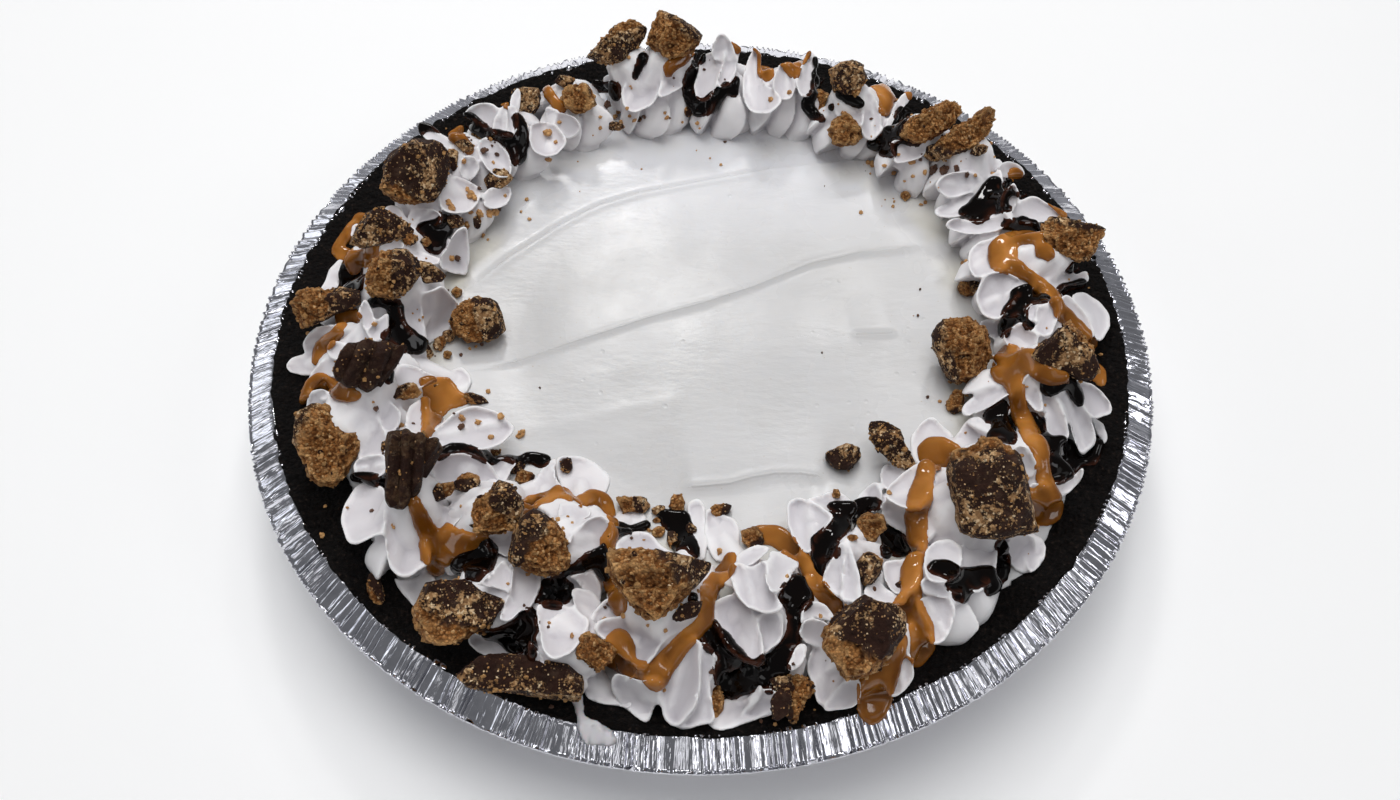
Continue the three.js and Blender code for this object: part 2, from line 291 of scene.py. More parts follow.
def cream_material():
    m, nt, p, co = new_material("whipped_cream")
    soft = noise_node(nt, co, 90, 2)
    # painted shade: the cream darkens to lilac-grey where the hollow attribute marks creases and hollows, with a little
    # random tone from noise
    deep = math_node(nt, "MULTIPLY_ADD", soft, 0.10, math_node(nt, "ADD", attr_node(nt, "hollow"), -0.05))
    col = ramp_node(nt, deep, [(0.22, (0.90, 0.885, 0.89)), (0.45, (0.81, 0.79, 0.805)), (0.62, (0.70, 0.675, 0.70)), (0.95, (0.48, 0.455, 0.49))])
    nt.links.new(col, p.inputs["Base Color"])
    nt.links.new(map_node(nt, noise_node(nt, co, 260, 2), 0.30, 0.46, 0.3, 0.7), p.inputs["Roughness"])
    p.inputs["Subsurface Weight"].default_value = 0.2
    p.inputs["Subsurface Radius"].default_value = (1.0, 0.85, 0.8)
    p.inputs["Subsurface Scale"].default_value = 0.0012
    p.inputs["Specular IOR Level"].default_value = 0.35
    fine = noise_node(nt, co, 600, 3)
    dist, pick, _t = voronoi(nt, co, 420)
    bubble = math_node(nt, "MULTIPLY", math_node(nt, "GREATER_THAN", pick, 0.80), map_node(nt, dist, 1, 0, 0.08, 0.30))
    h = math_node(nt, "MULTIPLY_ADD", bubble, 0.45, math_node(nt, "MULTIPLY", fine, 0.55))
    nt.links.new(bump_node(nt, h, 0.32, 0.0004), p.inputs["Normal"])
    return m


def filling_material():
    m, nt, p, co = new_material("cream_filling")
    # painted shade: near the rosettes' feet the filling is mixed towards a yellowish grey, where they shade it
    tint = attr_node(nt, "tint")
    base = ramp_node(nt, noise_node(nt, co, 30, 3), [(0.3, (0.577, 0.571, 0.568)), (0.7, (0.613, 0.609, 0.613))])
    col = mix_node(nt, tint, base, (0.64, 0.60, 0.46))
    # painted light: the filling is mixed towards a pale bluish white towards the back of the pie
    sepf = nt.nodes.new("ShaderNodeSeparateXYZ")
    nt.links.new(co, sepf.inputs[0])
    col = mix_node(nt, map_node(nt, sepf.outputs[1], 0, 0.75, 0.025, 0.075), col, (0.84, 0.845, 0.885))
    speck = noise_node(nt, co, 1500, 1)
    col = mix_node(nt, map_node(nt, speck, 0, 0.55, 0.77, 0.80), col, (0.42, 0.33, 0.22))
    nt.links.new(col, p.inputs["Base Color"])
    nt.links.new(map_node(nt, noise_node(nt, co, 55, 3), 0.22, 0.34, 0.3, 0.7), p.inputs["Roughness"])
    p.inputs["Subsurface Weight"].default_value = 0.3
    p.inputs["Subsurface Radius"].default_value = (1.0, 0.85, 0.7)
    p.inputs["Subsurface Scale"].default_value = 0.002
    p.inputs["Specular IOR Level"].default_value = 0.45
    # the spreader's fine drag marks, a few small pits, and the sharp edge of the ridges
    turn = nt.nodes.new("ShaderNodeMapping")
    turn.inputs["Rotation"].default_value = (0, 0, math.radians(-33))
    turn.inputs["Scale"].default_value = (0.45, 1.3, 1.0)
    nt.links.new(co, turn.inputs["Vector"])
    drag = noise_node(nt, turn.outputs[0], 420, 4, 0.55)
    low = noise_node(nt, co, 90, 2)
    dist, pick, _t = voronoi(nt, co, 240)
    pit = math_node(nt, "MULTIPLY", math_node(nt, "GREATER_THAN", pick, 0.86), map_node(nt, dist, 1, 0, 0.05, 0.17))
    edge = None
    for k in (0, 1, 2, 4):
        crest = map_node(nt, math_node(nt, "ABSOLUTE", attr_node(nt, f"ridge{k}"), 0), 1, 0, 0.0, 0.42)
        edge = crest if edge is None else math_node(nt, "MAXIMUM", edge, crest)
    h = math_node(nt, "MULTIPLY_ADD", pit, -0.35, math_node(nt, "MULTIPLY_ADD", drag, 0.38, math_node(nt, "MULTIPLY_ADD", low, 0.5, math_node(nt, "MULTIPLY", edge, 0.8))))
    nt.links.new(bump_node(nt, h, 0.35, 0.0005), p.inputs["Normal"])
    return m


def crust_material():
    m, nt, p, co = new_material("crumb_crust")
    g = noise_node(nt, co, 900, 4, 0.7)
    col = ramp_node(nt, g, [(0.38, (0.0010, 0.0008, 0.0008)), (0.58, (0.0060, 0.0045, 0.0040)), (0.70, (0.030, 0.021, 0.017)), (0.82, (0.11, 0.080, 0.062))])
    nt.links.new(col, p.inputs["Base Color"])
    nt.links.new(map_node(nt, g, 0.55, 0.9, 0.3, 0.7), p.inputs["Roughness"])
    p.inputs["Specular IOR Level"].default_value = 0.20
    vor = nt.nodes.new("ShaderNodeTexVoronoi")
    vor.inputs["Scale"].default_value = 900
    nt.links.new(co, vor.inputs["Vector"])
    h = nt.nodes.new("ShaderNodeMath")
    h.operation = "MULTIPLY_ADD"
    nt.links.new(vor.outputs["Distance"], h.inputs[0])
    h.inputs[1].default_value = -0.8
    nt.links.new(g, h.inputs[2])
    nt.links.new(bump_node(nt, h.outputs[0], 1.0, 0.0010), p.inputs["Normal"])
    return m


def foil_material():
    m, nt, p, co = new_material("foil")
    # fine streaks along the crimps: noise on the direction round the rim, stretched along the radius
    flat = nt.nodes.new("ShaderNodeVectorMath")
    flat.operation = "MULTIPLY"
    flat.inputs[1].default_value = (1, 1, 0)
    nt.links.new(co, flat.inputs[0])
    unit = nt.nodes.new("ShaderNodeVectorMath")
    unit.operation = "NORMALIZE"
    nt.links.new(flat.outputs[0], unit.inputs[0])
    length = nt.nodes.new("ShaderNodeVectorMath")
    length.operation = "LENGTH"
    nt.links.new(flat.outputs[0], length.inputs[0])
    comb = nt.nodes.new("ShaderNodeCombineXYZ")
    nt.links.new(length.outputs["Value"], comb.inputs[2])
    add = nt.nodes.new("ShaderNodeVectorMath")
    add.operation = "ADD"
    nt.links.new(unit.outputs[0], add.inputs[0])
    nt.links.new(comb.outputs[0], add.inputs[1])
    streak = noise_node(nt, add.outputs[0], 210, 2, 0.5)
    f = noise_node(nt, co, 260, 4)
    nt.links.new(ramp_node(nt, f, [(0.3, (0.74, 0.74, 0.80)), (0.7, (0.90, 0.90, 0.96))]), p.inputs["Base Color"])
    p.inputs["Metallic"].default_value = 1.0
    nt.links.new(map_node(nt, noise_node(nt, co, 900, 3), 0.08, 0.15, 0.3, 0.7), p.inputs["Roughness"])
    nt.links.new(bump_node(nt, streak, 0.32, 0.0006), p.inputs["Normal"])
    return m


def cup_material():
    """chocolate where the mesh attribute choc is 1, crumbly peanut butter where it is 0"""
    m, nt, p, co = new_material("cup_piece")
    mid = noise_node(nt, co, 300, 4, 0.65)
    dist, tone, tone2 = voronoi(nt, co, 1700)
    dist2, pick, pick2 = voronoi(nt, co, 1700)
    # crumbly side: grains of slightly different tan
    tan = ramp_node(nt, tone, [(0.0, (0.17, 0.059, 0.014)), (0.3, (0.32, 0.121, 0.031)), (0.65, (0.51, 0.210, 0.060)), (0.88, (0.75, 0.37, 0.135)), (1.0, (0.93, 0.60, 0.29))])
    tan = mix_node(nt, map_node(nt, mid, 0, 0.70, 0.48, 0.64), tan, (0.12, 0.039, 0.009))
    blot = noise_node(nt, co, 170, 3, 0.6)
    tan = mix_node(nt, map_node(nt, blot, 0, 0.55, 0.50, 0.64), tan, (0.17, 0.061, 0.016))
    tan = mix_node(nt, map_node(nt, blot, 0.35, 0, 0.34, 0.48), tan, (0.66, 0.33, 0.115))
    fleck = noise_node(nt, co, 480, 4, 0.7)
    tan = mix_node(nt, map_node(nt, fleck, 0, 0.8, 0.62, 0.67), tan, (0.050, 0.022, 0.012))
    tan = mix_node(nt, map_node(nt, fleck, 0.8, 0, 0.32, 0.40), tan, (0.82, 0.49, 0.21))
    # painted shade: the colour darkens in the gaps between the grains
    tan = mix_node(nt, map_node(nt, dist, 0, 0.55, 0.40, 0.80), tan, (0.075, 0.024, 0.006))
    # painted shade in the hollows of the piece, and painted highlights on its raised crumbs
    deep = attr_node(nt, "hollow")
    tan = mix_node(nt, map_node(nt, deep, 0, 0.85, 0.51, 0.85), tan, (0.055, 0.017, 0.004))
    tan = mix_node(nt, map_node(nt, deep, 0.45, 0, 0.12, 0.46), tan, (0.88, 0.52, 0.215))
    # chocolate side: dark, with grains of the filling stuck on it in drifts
    dark = ramp_node(nt, mid, [(0.3, (0.016, 0.0065, 0.0042)), (0.6, (0.034, 0.014, 0.0090)), (0.8, (0.075, 0.040, 0.027))])
    drift = noise_node(nt, co, 130, 2)
    clean = attr_node(nt, "clean")
    lim = math_node(nt, "MAXIMUM", map_node(nt, drift, 0.86, 0.30, 0.36, 0.62), math_node(nt, "MULTIPLY", clean, 0.955))
    clump = noise_node(nt, co, 620, 5, 0.72)
    patch = map_node(nt, math_node(nt, "SUBTRACT", clump, map_node(nt, drift, 0.63, 0.42, 0.36, 0.62)), 0, 1, 0.0, 0.05)
    patch = math_node(nt, "MULTIPLY", patch, math_node(nt, "MULTIPLY_ADD", clean, -0.9, 1.0))
    grain = math_node(nt, "MULTIPLY", math_node(nt, "GREATER_THAN", pick, lim), math_node(nt, "LESS_THAN", dist2, 0.34))
    spot = math_node(nt, "MAXIMUM", patch, grain)
    dust = ramp_node(nt, pick2, [(0.0, (0.18, 0.088, 0.038)), (0.5, (0.42, 0.235, 0.105)), (0.85, (0.70, 0.46, 0.24)), (1.0, (0.92, 0.72, 0.47))])
    dark = mix_node(nt, spot, dark, dust)
    haze = noise_node(nt, co, 420, 3, 0.6)
    dark = mix_node(nt, map_node(nt, haze, 0, 0.35, 0.52, 0.72), dark, (0.13, 0.085, 0.058))
    choc = attr_node(nt, "choc")
    nt.links.new(mix_node(nt, choc, tan, dark), p.inputs["Base Color"])
    nt.links.new(map_node(nt, haze, 0.50, 0.85, 0.3, 0.7), p.inputs["Roughness"])
    p.inputs["Specular IOR Level"].default_value = 0.2
    grains_h = math_node(nt, "MULTIPLY_ADD", dist, -0.5, math_node(nt, "MULTIPLY_ADD", clump, 1.5, mid))
    dark_h = math_node(nt, "MULTIPLY_ADD", spot, 0.5, math_node(nt, "MULTIPLY", clump, 0.9))
    hm = nt.nodes.new("ShaderNodeMix")
    hm.data_type = "FLOAT"
    nt.links.new(choc, hm.inputs[0])
    nt.links.new(grains_h, hm.inputs[2])
    nt.links.new(dark_h, hm.inputs[3])
    nt.links.new(bump_node(nt, hm.outputs[0], 1.0, 0.0014), p.inputs["Normal"])
    return m


def caramel_material():
    m, nt, p, co = new_material("peanut_sauce")
    thin = attr_node(nt, "thin")
    # lighter where the sauce is thin, and on the peanut butter sauce also painted light where it faces up towards the
    # lamps (both carried in the thin attribute)
    deep = math_node(nt, "MULTIPLY_ADD", noise_node(nt, co, 120, 2), 0.6, math_node(nt, "MULTIPLY_ADD", thin, -1.0, 0.70))
    nt.links.new(ramp_node(nt, deep, [(0.05, (0.60, 0.265, 0.072)), (0.35, (0.42, 0.165, 0.030)), (0.70, (0.25, 0.090, 0.012)), (1.0, (0.145, 0.046, 0.004))]), p.inputs["Base Color"])
    p.inputs["Roughness"].default_value = 0.09
    p.inputs["Subsurface Weight"].default_value = 0.25
    p.inputs["Subsurface Radius"].default_value = (1.0, 0.45, 0.15)
    p.inputs["Subsurface Scale"].default_value = 0.0015
    p.inputs["Specular IOR Level"].default_value = 0.45
    nt.links.new(bump_node(nt, noise_node(nt, co, 500, 2), 0.05, 0.0003), p.inputs["Normal"])
    return m


def choc_material():
    m, nt, p, co = new_material("chocolate_sauce")
    thin = attr_node(nt, "thin")
    base = ramp_node(nt, noise_node(nt, co, 200, 2), [(0.3, (0.0014, 0.0008, 0.0007)), (0.7, (0.0028, 0.0014, 0.0010))])
    col = mix_node(nt, thin, base, (0.042, 0.0120, 0.0055))
    nt.links.new(col, p.inputs["Base Color"])
    p.inputs["Roughness"].default_value = 0.05
    p.inputs["Specular IOR Level"].default_value = 0.24
    nt.links.new(bump_node(nt, noise_node(nt, co, 350, 2), 0.04, 0.0003), p.inputs["Normal"])
    return m


def crumb_material(name, c0, c1, rough):
    m, nt, p, co = new_material(name)
    nt.links.new(ramp_node(nt, noise_node(nt, co, 700, 3, 0.6), [(0.3, c0), (0.7, c1)]), p.inputs["Base Color"])
    nt.links.new(map_node(nt, noise_node(nt, co, 1500, 2), rough - 0.12, rough + 0.1, 0.3, 0.7), p.inputs["Roughness"])
    nt.links.new(bump_node(nt, noise_node(nt, co, 2200, 2), 0.5, 0.0002), p.inputs["Normal"])
    return m


def milk_material():
    m, nt, p, co = new_material("milky_drip")
    nt.links.new(ramp_node(nt, attr_node(nt, "thin"), [(0.0, (0.66, 0.65, 0.67)), (1.0, (0.34, 0.34, 0.36))]), p.inputs["Base Color"])
    nt.links.new(map_node(nt, noise_node(nt, co, 400, 2), 0.10, 0.2, 0.3, 0.7), p.inputs["Roughness"])
    p.inputs["Subsurface Weight"].default_value = 0.3
    p.inputs["Subsurface Scale"].default_value = 0.001
    return m


# ------------------------------------------------------------------ camera of the photograph
# fitted to the outline of the tin's flange: everything in metres
CAM_LOC = Vector((0, -0.184737, 0.263410))
CAM_F = 1150.0                      # focal length in pixels of the 1400 x 800 frame
cam_fwd = Vector((-0.000314, 0.568741, -0.822516)).normalized()
cam_up0 = Vector((-0.0027, 0.822513, 0.56874))
cam_right = cam_fwd.cross(cam_up0).normalized()
cam_up = cam_right.cross(cam_fwd).normalized()
cam = bpy.data.cameras.new("cam")
cam.sensor_width = 36
cam.lens = 36 * CAM_F / 1400
cam.clip_start = 0.01
cam_ob = bpy.data.objects.new("cam", cam)
bpy.context.scene.collection.objects.link(cam_ob)
R3 = Matrix((cam_right, cam_up, -cam_fwd)).transposed()
cam_ob.matrix_world = Matrix.Translation(CAM_LOC) @ R3.to_4x4()
bpy.context.scene.camera = cam_ob


def pixel_ray(px, py):
    return (cam_fwd * CAM_F + cam_right * (px - 700) - cam_up * (py - 400)).normalized()


# ------------------------------------------------------------------ sizes shared with the CAD
RIM_R, RIM_Z = 115.0, 28.0
FLANGE_R, FLANGE_Z = 107.6, 31.2
BASE_R, BASE_FILLET = 84.0, 2.2
WALL_TOP_R, WALL_TOP_Z = 106.4, 29.4
CRUST_EDGE_R, CRUST_EDGE_Z = 95.0, 28.3
CRUST_RIM_R, CRUST_RIM_Z = 105.9, 30.3
FILL_MID_Z, FILL_RING_Z = 27.3, 28.2
DOLLOP_Z = 28.95


# ------------------------------------------------------------------ foil tin
def build_tin():
    rng = np.random.default_rng(264)
    # pleats of uneven width: runs of narrow ones, and a nearly plain stretch here and there
    around = 2 * np.pi * 111.0
    widths = []
    while sum(widths) < around:
        if rng.random() < 0.03:
            widths.append(rng.uniform(3.5, 6.0))
        else:
            widths.append(float(np.clip(rng.lognormal(math.log(1.5), 0.42), 0.75, 3.4)))
    widths = np.array(widths) * around / sum(widths)
    starts = np.concatenate([[0], np.cumsum(widths)[:-1]]) / 111.0
    m = len(widths)
    lean = vnoise(np.stack([np.cos(starts) * 30, np.sin(starts) * 30, 0 * starts], 1), 4.0, 3) + rng.normal(0, 0.35, m) > 0
    deep = np.clip((widths / 1.6) ** 0.45, 0.7, 1.25) * rng.uniform(0.55, 1.3, m) * np.where(widths > 3.4, 0.35, 1.0)
    a, wv = [], []
    for k in range(m):
        u = np.array([0.0, 0.36, 0.58, 0.76]) + np.concatenate([[0], rng.uniform(-0.07, 0.07, 3)])
        h = np.array([-1.0, -0.72, 0.75, 1.0])
        if lean[k]:
            u = np.array([0.0, 0.24, 0.42, 0.64]) + np.concatenate([[0], rng.uniform(-0.07, 0.07, 3)])
            h = np.array([-1.0, 1.0, 0.75, -0.72])
        a += list(starts[k] + u * widths[k] / 111.0)
        wv += list(h * deep[k])
    a, wv = np.array(a), np.array(wv)
    cols = len(a)
    ring = np.stack([np.cos(a) * 30, np.sin(a) * 30, np.zeros(cols)], 1)     # for noise round the rim
    for mid, half, k in ((math.radians(192), 0.10, 0.70), (math.radians(318), 0.05, 0.45), (math.radians(20), 0.06, 0.4)):
        d = np.abs((a - mid + np.pi) % (2 * np.pi) - np.pi)
        wv *= 1 - k * (1 - step01(half * 0.6, half * 1.6, d))
    slow = 0.35 * vnoise(ring, 9, 21) + 0.2 * vnoise(ring, 3.5, 22)
    slant = (0.9 * vnoise(ring, 5.0, 31) + 0.55 * vnoise(ring, 1.4, 32)) / 111.0
    rows = []

    def row(r, z, k_wave=0.0, k_r=0.0, shift=0.0):
        rr = r + k_r * wv + 0.25 * k_r * slow
        zz = z + k_wave * wv
        tw = slant * shift
        rows.append(np.stack([rr * np.cos(a + tw), rr * np.sin(a + tw), np.broadcast_to(zz, a.shape)], 1))

    def amp(u):
        """height of the pleats across the flange: most in its middle"""
        return 0.27 + 0.33 * math.sin(math.pi * min(1.0, 0.15 + 0.75 * u))

    inner_jag = 0.45 * vnoise(ring, 4.0, 41) + 0.35 * np.abs(((a * 17 / (2 * np.pi)) % 1.0) - 0.5)
    t = 0.16
    # outside, from the centre of the base up to the flange's edge
    row(1.0, 0.0)
    for r in (30, 60, 78, 83.2):
        row(r, 0.0)
    row(BASE_R + 0.7, 0.25, 0.02)
    row(BASE_R + BASE_FILLET, BASE_FILLET, 0.0, 0.10)
    wall = np.linspace(0, 1, 9)
    for u in wall[1:]:
        row(BASE_R + BASE_FILLET + (WALL_TOP_R - BASE_R - BASE_FILLET) * u,
            BASE_FILLET + (WALL_TOP_Z - BASE_FILLET) * u, 0.0, 0.16 + 0.14 * u)
    row(FLANGE_R + 0.3, FLANGE_Z - 0.62, 0.26, 0.10)
    for u in (0.3, 0.6, 0.85):
        row(FLANGE_R + (RIM_R - 0.6 - FLANGE_R) * u, FLANGE_Z - t - (FLANGE_Z - RIM_Z) * u, amp(u), 0.0, u)
    row(RIM_R - 0.75, RIM_Z - 0.40, 0.42, 0.10, 0.95)
    row(RIM_R - 0.45, RIM_Z - 0.28, 0.42, 0.16, 1.0)
    row(RIM_R - 0.34, RIM_Z + 0.02, 0.42, 0.18, 1.0)
    row(RIM_R - 0.55, RIM_Z + 0.28, 0.42, 0.16, 1.0)
    # top of the flange, inwards
    for u in (0.92, 0.8, 0.66, 0.5, 0.34, 0.18, 0.06):
        row(FLANGE_R + (RIM_R - FLANGE_R) * u, RIM_Z + (FLANGE_Z - RIM_Z) * (1 - u), amp(u), 0.0, u)
    first_inner = len(rows)
    row(FLANGE_R - 0.05, FLANGE_Z - 0.10, 0.22, 0.05)
    row(FLANGE_R - 0.50, FLANGE_Z - 0.50, 0.16, 0.06)
    for u in (0.97, 0.93, 0.8, 0.5):
        row(BASE_R + BASE_FILLET + (WALL_TOP_R - BASE_R - BASE_FILLET) * u - 0.35,
            BASE_FILLET + (WALL_TOP_Z - BASE_FILLET) * u + 0.2, 0.0, 0.16)
    row(BASE_R + BASE_FILLET - 0.3, BASE_FILLET + 0.3)
    row(BASE_R - 0.5, 0.4)
    row(1.0, 0.4)
    V = np.stack(rows)
    for k in (first_inner, first_inner + 1):
        rr = np.hypot(V[k, :, 0], V[k, :, 1])
        s = (rr + inner_jag) / rr
        V[k, :, 0] *= s
        V[k, :, 1] *= s
    n = len(rows)
    P = V.reshape(-1, 3)
    F = grid_faces(n, cols)
    P = np.concatenate([P, [[0, 0, 0]], [[0, 0, 0.4]]])
    c0, c1 = len(P) - 2, len(P) - 1
    i = np.arange(cols)
    cap0 = np.stack([np.full(cols, c0), (i + 1) % cols, i], 1)
    last = (n - 1) * cols
    cap1 = np.stack([np.full(cols, c1), last + i, last + (i + 1) % cols], 1)
    # soft dents all over, none on the flat base
    keep = step01(1.0, 6.0, P[:, 2])
    rad = np.hypot(P[:, 0], P[:, 1]) + 1e-6
    dent = 0.22 * vnoise(P, 13, 51) * keep * (rad < 112)
    P[:, 0] *= 1 + dent / rad
    P[:, 1] *= 1 + dent / rad
    P[:, 2] += (0.10 * vnoise(P, 1.6, 52) + 0.07 * vnoise(P, 0.8, 53)) * ((rad > 108.2) & (rad < 114.3))
    return make("foil_tin", P, [F, cap0, cap1])


# ------------------------------------------------------------------ crumb crust
def crumble(a):
    return 1.1 * np.sin(3 * a + 1.3) + 0.7 * np.sin(7 * a) + 0.5 * np.sin(16 * a + 2)


def near_angle(a, deg, width):
    """1 at that direction, falling to 0 about the width (degrees) away"""
    d = (a - math.radians(deg) + math.pi) % (2 * math.pi) - math.pi
    return np.exp(-(d / math.radians(width)) ** 2)


def crust_edge(a):
    """radius of the crust's inner edge: wide at the left, narrow at the front and lower right"""
    return (CRUST_EDGE_R + 1.0 + crumble(a) + 4.8 * near_angle(a, 318, 22) + 2.8 * near_angle(a, 262, 14)
            + 1.5 * near_angle(a, 235, 12) - 0.8 * near_angle(a, 185, 30))


def build_crust():
    cols = 900
    a = np.linspace(0, 2 * np.pi, cols, endpoint=False)
    edge = crust_edge(a)
    rows = []

    def row(r, z):
        r = np.broadcast_to(r, a.shape)
        rows.append(np.stack([r * np.cos(a), r * np.sin(a), np.broadcast_to(z, a.shape).astype(float)], 1))
    row(0.5, 0.9)
    row(83.0, 0.9)
    row(84.9, 2.9)
    row(100.0, 22.0)
    row(105.2, 29.0)
    ring = np.stack([np.cos(a) * 60, np.sin(a) * 60, 0 * a], 1)
    rim = 107.95 + 0.45 * vnoise(ring, 1.6, 66) + 0.30 * vnoise(ring, 0.5, 67)
    tops = np.linspace(0, 1, 20)
    start = len(rows)
    for u in tops:
        r = rim + (edge - rim) * u
        z = 31.5 + (CRUST_EDGE_Z + 0.35 - 31.5) * step01(-0.15, 1.0, u) ** 0.8
        row(r, z - 0.5 * step01(0.85, 1.0, u))
    end = len(rows)
    row(edge - 0.5, 27.2)
    row(edge - 1.2, 26.0)
    row(78.0, 10.5)
    row(73.0, 7.5)
    row(0.5, 7.5)
    V = np.stack(rows)
    P = V.reshape(-1, 3)
    idx = np.arange(len(P)) // cols
    top = ((idx >= start) & (idx < end + 2)).astype(float)
    d = 0.55 * fbm(P, 2.6, 3, 61) + 0.34 * np.abs(vnoise(P, 1.1, 62)) + 0.16 * vnoise(P, 0.7, 63)
    P[:, 2] += top * d * 0.9
    rad = np.hypot(P[:, 0], P[:, 1]) + 1e-6
    inner = ((idx >= end - 4) & (idx < end + 2)).astype(float)
    push = inner * (0.9 * vnoise(P, 3.2, 64) + 0.5 * vnoise(P, 1.3, 65))
    P[:, 0] *= 1 + push / rad
    P[:, 1] *= 1 + push / rad
    n = len(rows)
    F = grid_faces(n, cols, flip=False)
    P = np.concatenate([P, [[0, 0, 0.9]], [[0, 0, 7.5]]])
    i = np.arange(cols)
    cap0 = np.stack([np.full(cols, len(P) - 2), (i + 1) % cols, i], 1)
    last = (n - 1) * cols
    cap1 = np.stack([np.full(cols, len(P) - 1), last + i, last + (i + 1) % cols], 1)
    return make("crumb_crust", P, [F, cap0, cap1])


# ------------------------------------------------------------------ cream filling
# the spreader's ridges as the photograph shows them: points in mm, height, width, step
def photo_line(points, z):
    out = []
    for px, py in points:
        d = pixel_ray(px, py)
        t = (z * MM - CAM_LOC.z) / d.z
        q = CAM_LOC + d * t
        out.append((q.x * 1000, q.y * 1000))
    return np.array(out)


RIDGE_LINES = [
    (photo_line([(462, 296), (510, 258), (560, 226), (600, 206), (640, 194), (700, 183), (770, 172), (850, 165), (905, 163)], 27.5), 0.42, 1.15, 0.55),
    (photo_line([(470, 374), (520, 359), (560, 346), (610, 330), (650, 317), (705, 302), (755, 286), (810, 263), (860, 252), (945, 248)], 27.5), 0.34, 1.0, -0.50),
    (photo_line([(676, 487), (700, 486), (730, 483), (752, 477), (775, 473), (800, 473), (832, 478)], 27.5), 0.55, 1.2, -1.1),
    (photo_line([(505, 430), (560, 420), (620, 405), (690, 392)], 27.5), 0.10, 4.0, 0.12),
    (photo_line([(850, 334), (870, 333), (898, 332)], 27.5), 0.30, 0.9, 0.1),
    (photo_line([(600, 150), (660, 136), (720, 130), (790, 132)], 27.5), 0.10, 2.6, 0.15),
]


def line_distance(x, y, line):
    """signed distance to a polyline, and how far along it the nearest point is (0 to 1)"""
    best = np.full(x.shape, 1e9)
    sign = np.ones(x.shape)
    along = np.zeros(x.shape)
    seg = np.linalg.norm(np.diff(line, axis=0), axis=1)
    cum = np.concatenate([[0], np.cumsum(seg)]) / seg.sum()
    for k in range(len(line) - 1):
        ax, ay = line[k]
        bx, by = line[k + 1]
        dx, dy = bx - ax, by - ay
        L2 = dx * dx + dy * dy
        t = np.clip(((x - ax) * dx + (y - ay) * dy) / L2, 0, 1)
        qx, qy = ax + t * dx, ay + t * dy
        d = np.hypot(x - qx, y - qy)
        m = d < best
        best = np.where(m, d, best)
        sign = np.where(m, np.sign((x - ax) * dy - (y - ay) * dx), sign)
        along = np.where(m, cum[k] + t * (cum[k + 1] - cum[k]), along)
    return best * sign, along


def filling_height(x, y):
    r = np.hypot(x, y)
    z = FILL_MID_Z + (FILL_RING_Z + 0.5 - FILL_MID_Z) * step01(46, 70, r)
    for line, h, w, s in RIDGE_LINES:
        d, al = line_distance(x, y, line)
        fade = step01(0, 0.12, al) * (1 - step01(0.88, 1, al))
        z = z + fade * (h * np.exp(-(d / w) ** 2) + s * 0.5 * np.tanh(d / 0.9) * np.exp(-(d / 10) ** 2))
    P = np.stack([x, y, np.zeros_like(x)], -1).reshape(-1, 3)
    z = z + (0.30 * vnoise(P, 26, 71) + 0.06 * vnoise(P, 9, 72)).reshape(x.shape)
    return z


def ridge_line(x, y, k):
    """signed distance (mm) to the crest of ridge k, far off beyond its ends"""
    d, al = line_distance(x, y, RIDGE_LINES[k][0])
    ends = 9 * (1 - step01(0, 0.10, al) * (1 - step01(0.90, 1, al)))
    return d + np.where(d < 0, -1, 1) * ends


def build_filling(dollops):
    cols, nr = 320, 108
    a = np.linspace(0, 2 * np.pi, cols, endpoint=False)
    rr = np.concatenate([np.linspace(0.8, 62, 72), np.linspace(62.8, 96.5, nr - 72)])
    Rg, Ag = np.meshgrid(rr, a, indexing="ij")
    edge = crust_edge(Ag) + 0.9 + 0.5 * vnoise(np.stack([np.cos(Ag) * 95, np.sin(Ag) * 95, 0 * Ag], -1).reshape(-1, 3), 4.0, 79).reshape(Ag.shape)
    Rg = np.where(Rg > 62, 62 + (Rg - 62) * (edge - 62) / (96.5 - 62), Rg)
    x, y = Rg * np.cos(Ag), Rg * np.sin(Ag)
    z = filling_height(x, y) - 1.6 * step01(-3.0, 0.0, Rg - edge)
    # painted shade at the feet of the rosettes: 1 next to each foot, gone 4 mm out, of random strength, none near the
    # rim
    tint = np.zeros_like(x)
    for (dx, dy, dr, *_rest) in dollops:
        d = np.hypot(x - dx, y - dy) - dr
        tint = np.maximum(tint, 1 - step01(-1, 4.0, d))
    P3 = np.stack([x, y, z], -1).reshape(-1, 3)
    tint = tint * (0.30 + 0.3 * vnoise(P3, 9, 77).reshape(x.shape)) * (1 - step01(84, 90, Rg))
    P = P3
    T = tint.reshape(-1)
    under = [np.stack([r * np.cos(a), r * np.sin(a), np.full(cols, z0)], 1) for r, z0 in ((96.0, 25.0), (78.5, 11.5), (72.5, 8.4), (0.8, 8.4))]
    P = np.concatenate([P] + under)
    T = np.concatenate([T, np.zeros(4 * cols)])
    n = nr + 4
    F = grid_faces(n, cols, flip=True)
    P = np.concatenate([P, [[0, 0, float(z[0].mean())]], [[0, 0, 8.4]]])
    T = np.concatenate([T, [0, 0]])
    lines = {f"ridge{k}": ridge_line(P[:, 0], P[:, 1], k) for k in (0, 1, 2, 4)}
    i = np.arange(cols)
    cap0 = np.stack([np.full(cols, len(P) - 2), i, (i + 1) % cols], 1)
    last = (n - 1) * cols
    cap1 = np.stack([np.full(cols, len(P) - 1), last + (i + 1) % cols, last + i], 1)
    return make("cream_filling", P, [F, cap0, cap1], attrs={"tint": np.clip(T, 0, 1), **lines})


